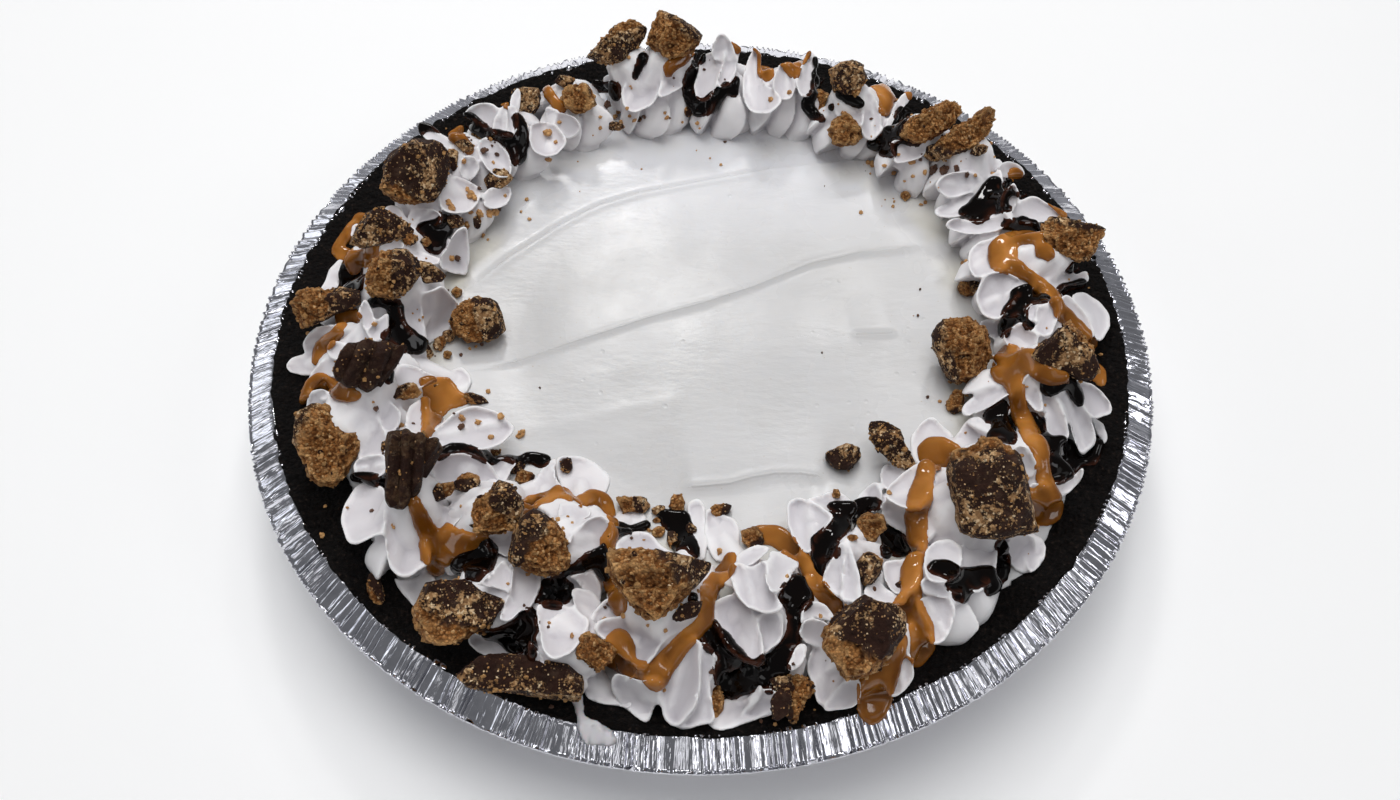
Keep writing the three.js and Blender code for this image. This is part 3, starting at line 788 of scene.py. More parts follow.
# ------------------------------------------------------------------ cream dollops
# x, y, radius, height, fins, direction of the first fin, twist (the CAD's own list)
DOLLOPS = [
    (81.6, 13.5, 16, 18.5, 8, 195, 26),
    (86, -3.5, 15.5, 18.0, 8, 175, 30),
    (79.5, -24, 16.5, 18.5, 8, 215, 34),
    (74.5, -44, 17, 18.0, 7, 300, 28),
    (59.5, -58, 18, 17.5, 8, 130, 24),
    (51, -76.5, 15, 17.0, 7, 265, 30),
    (35, -89, 16, 18.0, 7, 235, 26),
    (31.5, -69.5, 15.5, 17.5, 8, 115, 22),
    (14.5, -81, 18, 19.0, 8, 245, 36),
    (-8, -82, 19, 18.0, 8, 262, 30),
    (-27, -67, 16, 17.0, 7, 80, 26),
    (-29, -88.5, 14.5, 16.5, 7, 250, 30),
    (-43.5, -77.5, 14, 17.0, 7, 60, 24),
    (-50, -59.5, 15, 17.5, 7, 62, 28),
    (-65.5, -62, 14.5, 17.0, 7, 205, 24),
    (-63.5, -43.5, 16, 18.0, 7, 12, 26),
    (-79.5, -31, 15.5, 18.0, 8, 170, 28),
    (-80.5, -13, 15.5, 19.0, 8, 205, 26),
    (-78.5, 5, 17, 17.5, 8, 185, 24),
    (-79.5, 21.5, 16, 17.0, 8, 150, 28),
    (-72, 37, 17, 17.5, 7, 330, 26),
    (-66, 51.5, 16, 18.0, 7, 140, 30),
    (-55, 63.5, 16, 18.5, 7, 300, 26),
    (-38, 75.5, 16.5, 18.0, 8, 290, 28),
    (-15, 83, 17, 18.0, 8, 255, 26),
    (6, 83, 16, 19.5, 8, 265, 24),
    (24, 81, 16, 19.0, 8, 250, 26),
    (45, 71.5, 16.5, 18.5, 8, 240, 28),
    (62, 59.5, 16, 18.0, 7, 225, 26),
    (73, 46.5, 15, 17.5, 8, 200, 26),
    (79.5, 30, 16.5, 18.5, 8, 205, 30),
]
E_T = np.array([0, 0.07, 0.16, 0.30, 0.42, 0.52, 0.61, 0.70, 0.79, 0.87, 0.94, 1.0])
E_R = np.array([0.84, 0.95, 1.0, 1.0, 0.955, 0.875, 0.75, 0.58, 0.40, 0.25, 0.14, 0.04])
# how far fins that point a given way reach beyond the rest: dollop, direction in degrees, factor
REACH = [
    (9, 262, 1.32), (10, 255, 1.28), (9, 300, 1.15), (8, 270, 1.30), (7, 262, 1.25), (12, 240, 1.15), (14, 210, 1.2),
    (18, 20, 1.1), (17, 350, 1.15), (16, 350, 1.25), (11, 60, 1.2), (5, 110, 1.15), (8, 100, 1.15), (3, 180, 1.1),
]
ACROSS = np.array([-1.0, -0.91, -0.80, -0.66, -0.42, -0.15, 0.12, 0.33, 0.45, 0.52, 0.60, 0.68, 0.78, 0.90])   # samples across one fin
FACE_S = np.array([-1.0, -0.91, -0.80, -0.66, -0.42, -0.15, 0.12, 0.33, 0.45, 0.52, 0.60, 0.68, 0.78, 0.90, 1.0])
FACE_R = np.array([0.30, 0.54, 0.715, 0.825, 0.90, 0.935, 0.96, 0.985, 1.0, 0.995, 0.95, 0.82, 0.60, 0.38, 0.30])


def smooth_interp(x, xs, ys):
    """interpolation with soft corners"""
    out = 0
    for k, w in ((-0.03, 0.25), (0, 0.5), (0.03, 0.25)):
        out = out + w * np.interp(x + k, xs, ys)
    return out


def reach(i, cx, cy, ang):
    x0, y0, r0 = DOLLOPS[i][:3]
    lim = np.full(ang.shape, 60.0)
    for j, (x1, y1, r1, *_r) in enumerate(DOLLOPS):
        if j == i:
            continue
        d = math.hypot(x1 - x0, y1 - y0)
        if d > r0 + r1 + 8:
            continue
        nx, ny = (x1 - x0) / d, (y1 - y0) / d
        along = nx * np.cos(ang) + ny * np.sin(ang)
        face = d * r0 / (r0 + r1) - ((cx - x0) * nx + (cy - y0) * ny)
        lim = np.where(along > 0.05, np.minimum(lim, face / np.maximum(along, 0.05)), lim)
    return lim


def build_dollop(i):
    """a star-piped drop: blades of nearly even thickness, wound up to a small peak"""
    x0, y0, r0, h0, fins, first, twist = DOLLOPS[i]
    h0 = h0 * (1 + 0.10 * float(step01(15, 60, y0)))
    rng = np.random.default_rng(100 + i)
    per = len(ACROSS)
    cols = fins * per
    r0 = r0 * 0.93
    tt = np.concatenate([np.linspace(-0.08, 0.34, 9), np.linspace(0.39, 0.92, 15), np.array([0.95, 0.975, 0.993])])
    rows = len(tt)
    amp = rng.uniform(0.80, 1.17, fins)
    swp = rng.uniform(0.0, 0.45, fins)
    lift = rng.uniform(-0.08, 0.10, fins)
    off = rng.uniform(-0.12, 0.12, fins)
    gro = rng.uniform(0.78, 1.12, fins)
    for d, deg, k in REACH:
        if d == i + 1:
            for f in range(fins):
                da = (math.radians(first) + f * 2 * math.pi / fins - math.radians(deg) + math.pi) % (2 * math.pi) - math.pi
                amp[f] *= 1 + (k - 1) * math.exp(-(da / 0.55) ** 2)
    fin = np.repeat(np.arange(fins), per)
    s = np.tile(ACROSS, fins)
    T, S = np.meshgrid(tt, s, indexing="ij")
    FIN = np.broadcast_to(fin, T.shape)
    Tc = np.clip(T, 0, 1)
    # a fin is a broad, nearly flat face that ends in a crisp lip, with a narrow groove behind the lip
    lip = np.exp(-((S - 0.5) / 0.22) ** 2)
    crest = step01(0.35, 0.8, np.interp(S, FACE_S, FACE_R))
    te = np.clip(Tc - lift[FIN] * (1 - Tc) * crest, 0, 1)
    E = smooth_interp(te, E_T, E_R)
    grow = 1 + (amp[FIN] - 1) * (1 - step01(0.5, 0.9, Tc))
    deep = (1 - 0.30 * step01(0.55, 0.95, Tc)) * (1 - 0.25 * (1 - step01(0.0, 0.12, Tc))) * gro[FIN]
    f = 1 - (1 - np.interp(S, FACE_S, FACE_R)) * deep
    Rr = r0 * E * grow * f * (1 + 0.07 * lip * np.exp(-((Tc - 0.42) / 0.22) ** 2))
    Rr = np.maximum(Rr, 0.05)
    A = math.radians(first) + (FIN + S / 2) * 2 * np.pi / fins + off[FIN] * crest * (1 - Tc)
    A = A + math.radians(twist) * 1.75 * Tc ** 1.05 + swp[FIN] * (Rr / r0) ** 1.6 * (1 - 0.5 * Tc)
    lean = rng.uniform(-1.6, 1.6, 2)
    curl = rng.uniform(0, 2 * np.pi)
    cx = x0 + lean[0] * Tc ** 2 + 1.0 * np.cos(curl) * step01(0.86, 1.0, Tc)
    cy = y0 + lean[1] * Tc ** 2 + 1.0 * np.sin(curl) * step01(0.86, 1.0, Tc)
    lim = reach(i, cx, cy, A) + 3.6 - 1.5 * Tc
    k = 1.1
    Rr = -k * np.log(np.exp(-Rr / k) + np.exp(-np.minimum(lim, 60) / k))
    Rr = np.maximum(Rr, 0.05)
    # nothing reaches over the foil
    lim_out = 106.2
    bb = cx * np.cos(A) + cy * np.sin(A)
    out = -bb + np.sqrt(np.maximum(0, bb * bb - (cx ** 2 + cy ** 2) + lim_out ** 2))
    Rr = np.minimum(Rr, out)
    z = DOLLOP_Z + h0 * T + 0.8 * (crest - 0.5) * (1 - Tc)
    P = np.stack([cx + Rr * np.cos(A), cy + Rr * np.sin(A), z], -1).reshape(-1, 3)
    n1 = 0.34 * vnoise(P, 6.0, 200 + i) + 0.12 * vnoise(P, 2.2, 300 + i) + 0.03 * vnoise(P, 0.8, 400 + i)
    rad = np.stack([np.cos(A), np.sin(A), 0 * A], -1).reshape(-1, 3)
    P = P + rad * (n1 * (1 - step01(0.9, 1, Tc.reshape(-1))))[:, None]
    P[:, 2] += 0.2 * vnoise(P, 3.5, 500 + i) * step01(0.02, 0.2, T.reshape(-1))
    F = grid_faces(rows, cols)
    apex = P[-cols:].mean(0) + [0.2 * math.cos(curl), 0.2 * math.sin(curl), 0.35]
    foot = P[:cols].mean(0)
    P = np.concatenate([P, [foot], [apex]])
    j = np.arange(cols)
    cap0 = np.stack([np.full(cols, len(P) - 2), (j + 1) % cols, j], 1)
    last = (rows - 1) * cols
    cap1 = np.stack([np.full(cols, len(P) - 1), last + j, last + (j + 1) % cols], 1)
    return P, [F, cap0, cap1]


# ------------------------------------------------------------------ the folds of the rosettes
# Each fold of cream is a spoon-shaped lobe rooted in its rosette. Its outline is read off the
# photograph in pixels, and runs from one side of the root round the free end to the other.
FOLDS = [
    [(704, 700), (703, 716), (710, 726), (722, 731), (745, 724), (772, 713), (790, 706), (786, 697), (765, 698), (745, 702)],
    [(584, 690), (590, 700), (602, 704), (616, 706), (630, 708), (632, 697), (618, 690), (600, 686)],
    # back, left of the middle
    [(599, 65), (593, 57), (587, 49), (577, 53), (569, 59), (571, 68), (577, 76), (588, 74), (596, 72)],
    [(638, 66), (630, 72), (624, 84), (621, 96), (623, 106), (630, 112), (641, 111), (651, 106), (657, 98), (660, 86), (657, 70)],
    [(690, 55), (678, 68), (665, 76), (659, 86), (658, 98), (668, 95), (680, 89), (687, 80), (692, 66), (697, 52)],
    [(703, 55), (698, 72), (694, 86), (697, 99), (703, 102), (711, 97), (717, 84), (721, 70), (727, 50)],
    [(727, 45), (722, 66), (717, 83), (721, 88), (729, 84), (736, 74), (738, 60), (740, 48)],
    [(712, 58), (712, 47), (716, 38), (720, 33), (727, 36), (733, 46), (735, 58), (724, 62)],
    # back right
    [(755, 48), (748, 58), (744, 72), (742, 88), (744, 102), (752, 112), (764, 115), (775, 110), (782, 100), (775, 90), (765, 84), (760, 70), (760, 55)],
    [(779, 65), (774, 76), (773, 90), (777, 98), (786, 101), (793, 96), (795, 84), (791, 73), (785, 64)],
    [(810, 52), (803, 62), (798, 72), (796, 84), (800, 95), (808, 98), (813, 90), (815, 75), (817, 62), (815, 54)],
    [(868, 92), (863, 104), (862, 118), (861, 130), (866, 139), (874, 140), (881, 133), (882, 120), (879, 107), (873, 93)],
    [(846, 99), (838, 99), (834, 108), (838, 118), (850, 120), (862, 127), (864, 112), (858, 105)],
    [(938, 134), (927, 139), (914, 142), (900, 140), (891, 142), (892, 153), (896, 163), (908, 162), (920, 158), (930, 148)],
    [(905, 92), (897, 100), (892, 110), (887, 122), (884, 132), (890, 128), (895, 118), (903, 108), (910, 100), (911, 93)],
    # back left
    [(500, 110), (490, 103), (480, 103), (470, 107), (464, 114), (475, 121), (485, 128), (493, 133), (498, 122)],
    [(503, 106), (498, 112), (493, 122), (493, 132), (500, 136), (507, 134), (508, 120), (507, 108)],
    [(507, 108), (507, 122), (507, 134), (512, 137), (517, 130), (518, 118), (516, 106)],
    [(517, 116), (510, 112), (510, 101), (513, 93), (518, 88), (521, 95), (520, 108)],
    [(535, 122), (529, 132), (530, 145), (537, 154), (548, 157), (560, 152), (567, 142), (562, 132), (555, 124)],
    [(546, 118), (546, 106), (556, 111), (567, 114), (577, 119), (581, 128), (575, 137), (566, 139), (558, 130)],
    [(478, 142), (486, 137), (497, 141), (506, 150), (511, 160), (512, 170), (508, 177), (498, 178), (488, 170), (480, 158)],
    [(462, 178), (459, 168), (461, 159), (467, 155), (475, 158), (480, 166), (477, 175), (470, 180)],
    [(450, 150), (436, 146), (425, 139), (420, 131), (418, 124), (426, 124), (434, 128), (442, 134), (450, 140)],
    [(455, 176), (445, 181), (439, 190), (438, 200), (443, 210), (453, 214), (465, 213), (475, 208), (480, 198), (478, 186)],
    [(486, 190), (498, 187), (508, 186), (512, 192), (510, 200), (503, 207), (492, 209), (483, 205)],
    [(412, 226), (407, 217), (414, 210), (425, 208), (436, 210), (442, 217), (437, 225)],
    [(396, 224), (386, 216), (384, 209), (391, 205), (399, 207), (404, 213), (406, 222)],
    [(378, 216), (371, 214), (368, 204), (369, 195), (374, 189), (379, 193), (379, 205)],
    [(356, 242), (350, 234), (349, 225), (356, 223), (362, 229), (363, 238)],
    [(440, 266), (441, 256), (447, 246), (452, 236), (459, 228), (466, 227), (469, 240), (470, 252), (469, 265), (466, 275), (457, 274), (446, 272)],
    [(384, 248), (381, 241), (390, 238), (399, 240), (405, 246), (398, 251)],
    [(414, 258), (412, 249), (421, 251), (431, 255), (441, 259), (436, 265), (424, 264)],
    # left
    [(336, 262), (330, 250), (325, 243), (321, 245), (323, 258), (325, 270), (323, 282), (330, 280), (335, 270)],
    [(344, 256), (336, 262), (329, 270), (325, 281), (320, 291), (330, 291), (338, 287), (340, 276), (343, 264)],
    [(345, 308), (335, 306), (325, 304), (318, 308), (315, 316), (318, 322), (326, 326), (336, 326), (345, 322)],
    [(340, 325), (325, 325), (315, 328), (307, 335), (303, 343), (304, 352), (308, 356), (318, 353), (326, 348), (334, 338)],
    [(320, 358), (308, 354), (297, 356), (289, 360), (286, 366), (290, 372), (300, 375), (310, 376), (316, 373), (321, 368)],
    [(346, 345), (338, 341), (330, 344), (327, 351), (329, 357), (337, 360), (344, 356)],
    [(376, 342), (368, 337), (367, 330), (374, 323), (387, 313), (389, 322), (388, 332), (384, 339)],
    [(365, 330), (360, 320), (358, 312), (361, 304), (366, 299), (370, 306), (374, 316), (373, 325)],
    [(424, 343), (412, 334), (404, 324), (400, 312), (398, 301), (408, 296), (418, 294), (422, 305), (424, 320), (427, 335)],
    [(427, 344), (423, 330), (421, 314), (420, 300), (422, 292), (433, 290), (442, 285), (451, 294), (458, 304), (456, 317), (450, 329), (440, 338)],
    [(396, 388), (393, 375), (400, 364), (412, 365), (425, 371), (437, 378), (428, 384), (415, 390)],
    [(449, 388), (447, 377), (452, 370), (460, 367), (467, 371), (471, 379), (470, 388), (464, 394), (456, 396)],
    [(350, 362), (340, 357), (330, 356), (322, 360), (313, 370), (308, 380), (304, 390), (299, 398), (303, 401), (311, 391), (320, 380), (330, 376), (341, 378)],
    [(335, 400), (330, 393), (322, 389), (313, 390), (308, 397), (306, 407), (308, 415), (315, 418), (325, 414), (335, 410)],
    [(372, 397), (384, 398), (394, 404), (401, 412), (401, 422), (396, 430), (388, 433), (381, 427), (377, 416), (372, 405)],
    [(378, 408), (372, 412), (374, 425), (367, 442), (359, 453), (357, 460), (370, 457), (386, 455), (389, 440), (383, 428)],
    [(428, 400), (416, 401), (408, 409), (405, 420), (406, 429), (413, 435), (422, 436), (428, 424)],
    [(386, 456), (370, 455), (358, 459), (353, 466), (355, 474), (365, 479), (376, 478), (386, 472)],
    [(384, 490), (378, 484), (370, 480), (360, 484), (350, 494), (343, 508), (341, 520), (343, 533), (348, 542), (356, 545), (365, 541), (375, 537), (383, 530)],
    # front left
    [(428, 440), (440, 424), (455, 412), (468, 407), (480, 406), (493, 410), (504, 417), (516, 430), (508, 439), (497, 446), (487, 450), (470, 450), (452, 449)],
    [(440, 484), (432, 472), (431, 464), (438, 457), (450, 454), (463, 453), (476, 456), (489, 463), (496, 472), (498, 484)],
    [(497, 482), (489, 471), (491, 463), (498, 458), (508, 458), (516, 463), (511, 471), (506, 481)],
    [(410, 498), (394, 489), (385, 494), (383, 510), (384, 530), (385, 550), (388, 562), (393, 572), (401, 578), (411, 577), (421, 570), (431, 560), (426, 545), (420, 525)],
    [(424, 508), (413, 498), (420, 490), (426, 499), (440, 505), (455, 508), (464, 515), (454, 526), (445, 537), (439, 533), (431, 520)],
    [(450, 533), (457, 522), (466, 517), (473, 523), (479, 538), (469, 535), (459, 532)],
    [(428, 572), (415, 578), (400, 580), (393, 577), (398, 588), (406, 598), (414, 607), (418, 600), (424, 590), (436, 580)],
    [(527, 498), (530, 487), (536, 477), (544, 466), (552, 459), (557, 460), (555, 470), (558, 480), (562, 489), (554, 497)],
    [(567, 500), (559, 484), (555, 470), (557, 459), (566, 455), (577, 456), (588, 459), (599, 465), (608, 474), (610, 484), (606, 493), (597, 501)],
    [(560, 503), (558, 515), (562, 528), (570, 545), (574, 532), (581, 522), (592, 514), (588, 507), (575, 503)],
    [(578, 562), (572, 547), (575, 533), (583, 523), (592, 517), (601, 515), (608, 519), (614, 528), (609, 539), (604, 550), (598, 560)],
    [(516, 530), (500, 533), (490, 536), (484, 543), (490, 550), (498, 553), (507, 557), (514, 550)],
    [(508, 565), (502, 560), (493, 571), (485, 579), (476, 584), (487, 587), (498, 589), (508, 592), (513, 580)],
    [(530, 565), (517, 560), (512, 575), (511, 590), (505, 603), (498, 618), (506, 622), (514, 618), (521, 611), (528, 611), (535, 600), (541, 585), (540, 572)],
    [(512, 645), (490, 636), (474, 634), (467, 640), (475, 650), (485, 656), (496, 660), (507, 658), (517, 653)],
    # front
    [(550, 600), (536, 606), (538, 622), (540, 640), (545, 654), (556, 660), (568, 655), (580, 643), (590, 624), (580, 612), (566, 605)],
    [(542, 655), (536, 650), (530, 641), (529, 655), (533, 668), (538, 680), (544, 680), (546, 668)],
    [(590, 600), (583, 590), (575, 580), (568, 577), (580, 573), (592, 572), (599, 580), (602, 592), (599, 603)],
    [(600, 600), (592, 592), (580, 588), (572, 590), (573, 602), (581, 616), (590, 627), (595, 616), (602, 606)],
    [(650, 620), (640, 610), (622, 604), (612, 597), (604, 601), (597, 607), (590, 618), (589, 627), (600, 622), (618, 619), (636, 622)],
    [(690, 618), (665, 618), (640, 616), (615, 616), (597, 622), (593, 630), (606, 643), (622, 654), (634, 664), (643, 671), (652, 660), (661, 646), (672, 636), (686, 630)],
    [(640, 556), (616, 556), (614, 545), (622, 537), (633, 532), (645, 531), (653, 536), (661, 545), (673, 552), (690, 556)],
    [(642, 512), (646, 521), (634, 528), (620, 527), (613, 520), (622, 510)],
    [(704, 560), (695, 547), (690, 527), (687, 508), (691, 500), (698, 498), (704, 505), (706, 520), (708, 540)],
    [(718, 562), (707, 548), (704, 530), (706, 512), (712, 508), (722, 513), (735, 520), (741, 531), (739, 546), (732, 558)],
    [(660, 680), (640, 680), (618, 673), (611, 681), (612, 692), (620, 704), (634, 716), (646, 723), (653, 713), (660, 697)],
    [(690, 640), (675, 655), (664, 672), (660, 690), (661, 708), (665, 720), (674, 727), (684, 722), (693, 711), (699, 697), (702, 680), (701, 660), (698, 638)],
    [(704, 640), (700, 655), (702, 675), (700, 695), (694, 712), (684, 723), (676, 729), (692, 728), (706, 725), (715, 721), (712, 700), (712, 680), (716, 663), (716, 655)],
    [(748, 600), (735, 594), (722, 596), (713, 604), (713, 617), (719, 633), (726, 645), (736, 656), (748, 663), (759, 665), (765, 655), (763, 640), (758, 622)],
    [(772, 610), (757, 617), (757, 630), (760, 643), (763, 655), (772, 649), (781, 641), (784, 628), (783, 615)],
    [(752, 566), (736, 562), (729, 573), (732, 586), (739, 599), (748, 608), (761, 613), (774, 613), (784, 608), (778, 598), (771, 586), (766, 574), (766, 560)],
    [(736, 556), (737, 565), (749, 566), (761, 558), (770, 548), (758, 545), (746, 549)],
    [(786, 555), (771, 551), (767, 565), (765, 578), (769, 590), (778, 593), (786, 585), (792, 575), (800, 563)],
    [(768, 688), (758, 693), (748, 703), (741, 715), (752, 718), (766, 717), (780, 711), (788, 705), (781, 695)],
    [(726, 698), (735, 702), (750, 696), (760, 684), (762, 694), (754, 706), (745, 714), (735, 715), (727, 709)],
    # front right
    [(803, 552), (794, 540), (788, 526), (786, 511), (790, 501), (798, 497), (810, 501), (822, 507), (834, 516), (826, 527), (816, 540), (812, 552)],
    [(846, 516), (834, 513), (820, 505), (808, 499), (819, 496), (831, 491), (842, 493), (853, 503), (856, 512)],
    [(858, 512), (854, 505), (858, 496), (867, 487), (876, 482), (882, 492), (882, 505), (876, 512)],
    [(840, 543), (832, 558), (825, 570), (822, 580), (828, 588), (834, 595), (840, 599), (842, 585), (843, 568), (846, 548)],
    [(848, 543), (845, 560), (842, 580), (841, 600), (851, 603), (861, 601), (861, 585), (858, 568), (853, 552)],
    [(921, 552), (922, 568), (919, 583), (911, 593), (900, 595), (889, 589), (884, 577), (883, 562), (892, 560), (904, 559)],
    [(878, 580), (868, 582), (864, 592), (866, 603), (880, 605), (896, 605), (908, 600), (896, 594), (886, 588)],
    [(826, 632), (815, 640), (809, 655), (806, 670), (812, 682), (814, 695), (820, 706), (828, 702), (834, 692), (843, 684), (852, 680), (848, 665), (840, 650)],
    [(824, 650), (812, 646), (803, 641), (799, 632), (802, 623), (811, 618), (821, 620), (831, 628), (830, 642)],
    [(836, 622), (824, 620), (810, 619), (801, 624), (800, 616), (804, 607), (811, 601), (820, 602), (829, 608)],
    [(848, 676), (840, 684), (831, 697), (823, 706), (827, 711), (840, 710), (853, 707), (860, 700), (860, 680)],
    [(890, 640), (900, 641), (908, 650), (913, 662), (914, 675), (909, 686), (900, 695), (891, 696), (886, 685), (887, 660)],
    [(799, 644), (794, 650), (791, 658), (787, 667), (790, 671), (797, 669), (804, 661), (807, 652), (806, 644)],
    [(925, 465), (914, 462), (910, 448), (912, 435), (920, 424), (930, 417), (938, 420), (945, 428), (954, 437), (951, 450), (945, 462)],
    [(966, 451), (960, 446), (955, 438), (961, 428), (969, 419), (978, 416), (985, 423), (989, 433), (986, 444)],
    [(896, 490), (885, 489), (880, 480), (881, 470), (887, 463), (896, 465), (906, 470), (903, 482)],
    [(932, 463), (919, 463), (906, 470), (895, 480), (886, 489), (885, 497), (893, 503), (903, 508), (913, 511), (924, 506), (932, 490)],
    [(912, 530), (898, 530), (886, 522), (881, 511), (884, 501), (895, 504), (908, 511), (916, 518)],
    [(962, 562), (962, 547), (951, 540), (938, 540), (929, 546), (924, 556), (923, 568), (927, 578), (935, 584), (947, 582), (958, 574)],
    [(960, 556), (962, 544), (975, 539), (988, 539), (996, 546), (998, 557), (995, 570), (989, 582), (981, 592), (972, 591), (964, 577)],
    [(1014, 535), (1024, 532), (1033, 537), (1037, 548), (1035, 560), (1029, 572), (1018, 572), (1010, 564), (1006, 552), (1008, 541)],
    [(1026, 532), (1040, 537), (1046, 546), (1045, 557), (1039, 567), (1030, 573), (1026, 560), (1026, 545)],
    [(922, 597), (935, 594), (947, 597), (955, 606), (955, 618), (951, 630), (945, 640), (936, 646), (930, 641), (929, 628), (922, 616), (916, 606)],
    [(960, 590), (945, 598), (933, 596), (922, 592), (921, 580), (930, 579), (941, 584), (950, 590), (954, 600), (962, 604)],
    [(1036, 501), (1028, 494), (1027, 486), (1034, 483), (1044, 485), (1051, 492), (1053, 500)],
    [(1013, 464), (1012, 451), (1018, 445), (1025, 446), (1031, 452), (1036, 461), (1037, 471), (1031, 478), (1022, 475)],
    [(1048, 484), (1060, 482), (1072, 477), (1083, 467), (1082, 478), (1074, 488), (1063, 497), (1054, 501)],
    # right
    [(1020, 384), (1022, 394), (1030, 405), (1038, 413), (1044, 409), (1042, 396), (1037, 383), (1030, 379)],
    [(1036, 388), (1040, 400), (1045, 420), (1049, 441), (1060, 441), (1069, 437), (1067, 420), (1061, 405), (1050, 390)],
    [(1054, 389), (1062, 402), (1068, 420), (1074, 440), (1082, 456), (1090, 450), (1096, 440), (1094, 427), (1087, 412), (1077, 398), (1064, 386)],
    [(1074, 383), (1079, 394), (1085, 410), (1093, 418), (1103, 417), (1112, 412), (1109, 400), (1100, 390), (1088, 382)],
    [(1088, 412), (1093, 425), (1098, 435), (1104, 444), (1108, 439), (1106, 431), (1100, 422)],
    [(1013, 380), (999, 384), (985, 391), (970, 399), (961, 409), (966, 416), (980, 412), (993, 405), (1007, 396), (1018, 387)],
    [(1020, 397), (1022, 383), (1028, 374), (1037, 369), (1036, 380), (1033, 392)],
    [(1000, 170), (985, 180), (970, 191), (955, 199), (942, 205), (934, 211), (940, 218), (953, 218), (966, 214), (980, 204), (992, 193), (1004, 181)],
    [(1006, 212), (995, 216), (983, 221), (968, 220), (955, 218), (945, 224), (952, 231), (966, 234), (983, 234), (997, 231), (1010, 222)],
    [(1003, 212), (1001, 200), (1006, 190), (1014, 183), (1019, 193), (1017, 204), (1011, 213)],
    [(986, 186), (980, 176), (965, 171), (947, 174), (935, 183), (940, 193), (950, 199), (964, 195), (978, 192)],
    [(1010, 178), (998, 176), (998, 166), (1009, 161), (1021, 166), (1025, 174), (1018, 178)],
    [(1012, 222), (1013, 206), (1025, 198), (1034, 196), (1046, 202), (1058, 210), (1068, 217), (1056, 220), (1041, 223), (1025, 223)],
    [(1005, 236), (991, 238), (979, 242), (971, 249), (967, 258), (969, 268), (975, 278), (990, 274), (1004, 270)],
    [(1036, 274), (1022, 279), (1008, 272), (997, 269), (986, 274), (979, 284), (976, 298), (978, 310), (987, 318), (998, 320), (1006, 312), (1014, 300), (1024, 292), (1036, 288)],
    [(1005, 340), (992, 338), (983, 331), (980, 322), (990, 319), (1003, 321)],
    [(1030, 353), (1013, 350), (1004, 342), (1003, 335), (1012, 327), (1021, 322), (1030, 329), (1038, 337), (1036, 348)],
    [(1057, 297), (1047, 303), (1038, 306), (1035, 315), (1036, 322), (1034, 330), (1042, 337), (1050, 336), (1056, 325), (1059, 310)],
    [(1040, 304), (1032, 303), (1026, 309), (1027, 317), (1033, 322), (1040, 318)],
    [(1072, 296), (1081, 291), (1092, 297), (1103, 305), (1109, 315), (1110, 327), (1105, 337), (1097, 341), (1091, 328), (1083, 313), (1075, 305)],
    [(1059, 302), (1067, 294), (1077, 303), (1086, 314), (1092, 325), (1095, 338), (1084, 333), (1073, 323), (1063, 312)],
    [(1038, 279), (1037, 266), (1048, 260), (1058, 255), (1065, 255), (1070, 262), (1065, 270), (1055, 277), (1045, 282)],
    [(1043, 289), (1043, 282), (1054, 276), (1066, 269), (1076, 274), (1086, 271), (1089, 281), (1077, 284), (1064, 287), (1054, 292)],
]


def rays(P2):
    """unit rays through pixels, and their share along the viewing direction"""
    d = (np.array(cam_fwd)[None] + np.array(cam_right)[None] * ((P2[:, :1] - 700) / CAM_F)
         - np.array(cam_up)[None] * ((P2[:, 1:] - 400) / CAM_F))
    L = np.linalg.norm(d, axis=1)
    return d / L[:, None], 1 / L


def closed_curve(points, n):
    """n evenly spaced points of a smooth closed curve through the points"""
    P = np.array(points, float)
    m = len(P)
    out = []
    for i in range(m):
        p0, p1, p2, p3 = P[i - 1], P[i], P[(i + 1) % m], P[(i + 2) % m]
        for t in np.arange(8) / 8:
            out.append(0.5 * (2 * p1 + (p2 - p0) * t + (2 * p0 - 5 * p1 + 4 * p2 - p3) * t * t + (3 * p1 - p0 - 3 * p2 + p3) * t ** 3))
    out = np.array(out + [out[0]])
    L = np.concatenate([[0], np.cumsum(np.linalg.norm(np.diff(out, axis=0), axis=1))])
    g = np.arange(n) * L[-1] / n
    return np.stack([np.interp(g, L, out[:, 0]), np.interp(g, L, out[:, 1])], 1)


FRONT = np.array([1.0, 0.985, 0.955, 0.915, 0.85, 0.74, 0.56, 0.30])
BACK = np.array([0.97, 0.82, 0.45])


